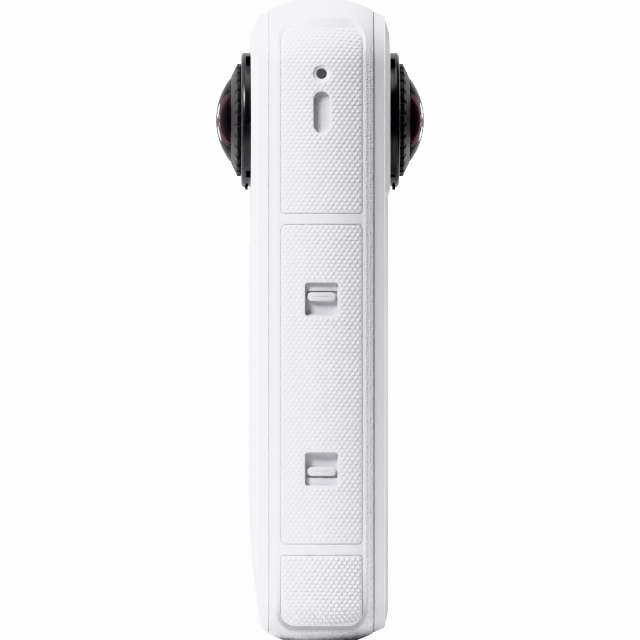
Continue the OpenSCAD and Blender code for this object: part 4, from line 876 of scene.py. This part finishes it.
# Opening for a flush piece, with a gap all round.
def flushOpening(middle, width, height, corner):
    gap = shell["openGap"]
    return plate(0, middle, width + 2 * gap, height + 2 * gap, corner + gap)


openRim = ((0.04, -0.015), (0.07, -0.06))
sink, shallow = holeWall(*openRim, (0.07, -1.3)), holeWall(*openRim, (0.07, -0.9))
padMiddle, padHeight = (pad["low"] + pad["high"]) / 2, pad["high"] - pad["low"]
lensHole = (disc(0, body["lensZ"], shell["lensHole"]), sink)
padHole = flushOpening(padMiddle, pad["width"], padHeight, pad["round"])
frontHoles = [lensHole, (padHole, shallow), (disc(0, shell["lightZ"], shell["lightHole"]), sink)]
screenHole = flushOpening(screen["middle"], screen["width"], screen["height"], screen["round"])
rearHoles = [lensHole, (screenHole, shallow)]
rearHoles += [(disc(way * shell["keyY"], shell["keyZ"], shell["keyHole"]), sink) for way in (-1, 1)]
for name, place, holes in (("front", frontPlace, frontHoles), ("rear", rearPlace, rearHoles)):
    sizes = [shell[name + key] for key in ("Face", "Side", "Inset")]
    makePiece(name + "_shell_skin", shellTile(*sizes, place, holes, name == "front"),
              "camera_body", "shell_white", [name + "_shell"], sharp=50)


# Front grip: the same raised triangles on a pad that follows the face's curve.
def padTile():
    edge, half, corner = pad["edge"], pad["width"] / 2, pad["round"] - pad["edge"]
    spec = ((edge - half, pad["low"] + edge), (half - edge, pad["high"] - edge),
            corner, corner, pad["step"])
    outline = plate(0, padMiddle, pad["width"], padHeight, pad["round"])

    def place(a, b, h):
        return xyz(-(shell["frontFace"] - toe(b) + h), a + 0 * h, b + 0 * h)

    def height(a, b):
        fade = clamp(-edgeDistance(a, b, outline) / knurl["edgeFade"] - pad["edgeBare"])
        return pad["proud"] - pad["sink"] + pad["raise"] * triangles(a, b) * fade
    skirt = plainSkirt((0.05, -0.012), (0.09, -0.045), (edge, -0.11), (edge, -0.75))
    return tile(spec, place, height, skirt, (), True)


makePiece("front_grip_skin", padTile(), "camera_body", "grip_white", ["front_grip"])
print("shells made")

# Lens rings: a turned profile of (radius, reach) corners whose rim is scalloped all round.
ring = {"skirt": 8.6, "rim": 10.0, "lip": 7.45, "groove": 7.95, "seat": 6.9, "bore": 7.6,
        "back": 10.95, "rimBack": 14.05, "rimFront": 14.7, "front": 15.9, "lipBack": 15.3, "seatFront": 14.5,
        "turns": 720, "coneSteps": 10, "scallops": 30, "scallop": 0.2, "scallopHalf": 0.4,
        "scallopFrom": 9.2, "scallopFade": 0.5}


# Each scallop is a shallow half round, and fades out inside the rim.
def ringScallop(radius, turn):
    pitch = tau / ring["scallops"]
    off = np.abs((turn / pitch + 0.5) % 1 - 0.5) * pitch * ring["rim"]
    depth = ring["scallop"] * np.sqrt(clamp(1 - (off / ring["scallopHalf"]) ** 2))
    return -depth * clamp((radius - ring["scallopFrom"]) / ring["scallopFade"])


def ringProfile():
    corners = [("skirt", "back"), ("skirt", "rimBack"), ("rim", "rimBack"), ("rim", "rimFront"),
               ("lip", "front"), ("lip", "lipBack"), ("groove", "lipBack"), ("groove", "seatFront"),
               ("seat", "seatFront"), ("seat", "rimBack"), ("bore", "rimBack"), ("bore", "back"),
               ("skirt", "back")]
    profile = filleted([(ring[radius], ring[reach]) for radius, reach in corners],
                       [0, 0.1, 0.14, 0.12, 0, 0, 0, 0.05, 0.05, 0, 0])
    cone = np.flatnonzero((profile[:, 0] < ring["rim"] - 0.1) & (profile[:, 1] > ring["rimFront"]))[0]
    steps = np.linspace(profile[cone - 1], profile[cone], ring["coneSteps"])[1:-1]
    return np.concatenate([profile[:cone], steps, profile[cone:]])


# Domes: outer sphere, short neck and rim, flat back and a smaller hollow sphere.
dome = {"middle": 6.4, "outer": 12.1, "edge": 7.4, "rim": 7.9, "rimFront": 15.25, "bevel": 0.02,
        "back": 14.55, "hollow": 5.4, "hollowMiddle": 11.7, "pole": 0.002, "neck": 0.05,
        "turns": 144, "outerSteps": 40, "innerSteps": 36}


def domeProfile():
    start = acos((dome["back"] - dome["hollowMiddle"]) / dome["hollow"])
    outer = np.linspace(dome["pole"], asin(dome["edge"] / dome["outer"]), dome["outerSteps"])
    inner = np.linspace(start, dome["pole"], dome["innerSteps"])
    sphere = lambda r, middle, t: np.stack([r * np.sin(t), middle + r * np.cos(t)], axis=1)
    rim, front, back, bevel = dome["rim"], dome["rimFront"], dome["back"], dome["bevel"]
    neck = [[dome["edge"], front], [rim - bevel, front - bevel], [rim, front - dome["neck"]],
            [rim, back + bevel], [rim - bevel, back]]
    return np.concatenate([sphere(dome["outer"], dome["middle"], outer), neck,
                           sphere(dome["hollow"], dome["hollowMiddle"], inner)])


for name, facing in (("front", -1), ("rear", 1)):
    makePiece(name + "_lens_ring_skin", [revolve(ringProfile(), ring["turns"], facing, ringScallop)],
              name + "_lens_cap", "ring_black", [name + "_lens_ring"], solid=True, sharp=35)
    makePiece(name + "_dome_skin", [revolve(domeProfile(), dome["turns"], facing)],
              name + "_lens_cap", "dome_glass", [name + "_dome"], solid=True, sharp=30)
print("lenses made")

# Stage, in metres: pale floor, white surround, darker in front, and soft light from the left.
stage = {"floorR": 0.16, "floorSides": 96, "floorDrop": 0.00005, "aim": (0, 0, 0.06), "lensAim": 0.0185,
         "lensZ": 0.092, "bright": (-0.55, 0.83, 0), "from": (-0.25, 0.5), "glow": (0.107, 1.12),
         "backdrop": 4.5}
t = np.arange(stage["floorSides"]) * tau / stage["floorSides"]
x, y = stage["floorR"] * np.cos(t), stage["floorR"] * np.sin(t)
mesh = bpy.data.meshes.new("floor")
mesh.from_pydata(np.stack([x, y, 0 * t - stage["floorDrop"]], axis=1).tolist(), [], [list(range(len(t)))])
mesh.materials.append(surface("floor pale", (0.84, 0.84, 0.84), (0.81, 0.81, 0.81), 0.7, 800, 0.05))
floor = addObject("floor", mesh)

world = bpy.data.worlds.new("studio")
bpy.context.scene.world = world
world.use_nodes = True
tree = world.node_tree
background = tree.nodes["Background"]
place, along, ramp, path, seen = addNodes(tree, "TexCoord", "VectorMath", "MapRange", "LightPath", "Mix")
along.operation = "DOT_PRODUCT"
along.inputs[1].default_value = stage["bright"]
ramp.interpolation_type = "SMOOTHSTEP"
setRange(ramp, *stage["from"], *stage["glow"])
setInputs(seen, B=stage["backdrop"])
setInputs(background, Color=(1, 1, 1, 1))
wire(place, "Generated", along, 0)
wire(along, "Value", ramp, "Value")
wire(path, "Is Camera Ray", seen, "Factor")
wire(ramp, "Result", seen, "A")
wire(seen, "Result", background, "Strength")


def makeLight(name, at, towards, size, power):
    lamp = bpy.data.lights.new(name, "AREA")
    lamp.shape = "DISK"
    lamp.size = size
    lamp.energy = power
    light = addObject(name, lamp)
    light.location = at
    light.rotation_mode = "QUATERNION"
    aim = np.array(towards) - np.array(at)
    light.rotation_quaternion = Vector(aim).to_track_quat("-Z", "Y")


lights = {"key": ((-0.415, -0.39, 0.475), 0.26, 6.0), "top": ((0.08, -0.14, 0.75), 0.5, 1.8)}
for name, (at, size, power) in lights.items():
    makeLight(name, at, stage["aim"], size, power)
glint = {"x": 0.22, "y": 0.36, "heights": (0.055, 0.13), "size": 0.05, "power": 0.05}
for side in (-1, 1):
    lensAt = (side * stage["lensAim"], 0, stage["lensZ"])
    for height in glint["heights"]:
        makeLight("glint", (side * glint["x"], glint["y"], height), lensAt, glint["size"], glint["power"])

# Camera: a long lens in the floor's plane, as far off as its field's width needs.
shot = {"yaw": -0.75, "lens": 1400, "sensor": 36, "field": 0.11327, "middle": 0.0569, "far": 100}
data = bpy.data.cameras.new("camera")
data.lens = shot["lens"]
data.sensor_width = shot["sensor"]
data.clip_end = shot["far"]
away, turn = shot["field"] / (shot["sensor"] / shot["lens"]), radians(shot["yaw"])
camera = addObject("camera", data)
camera.location = (away * sin(turn), -away * cos(turn), 0)
camera.rotation_euler = (pi / 2 + atan(shot["middle"] / away), 0, turn)
bpy.context.scene.camera = camera
bpy.context.scene.view_settings.view_transform = "Khronos PBR Neutral"
print("stage made")
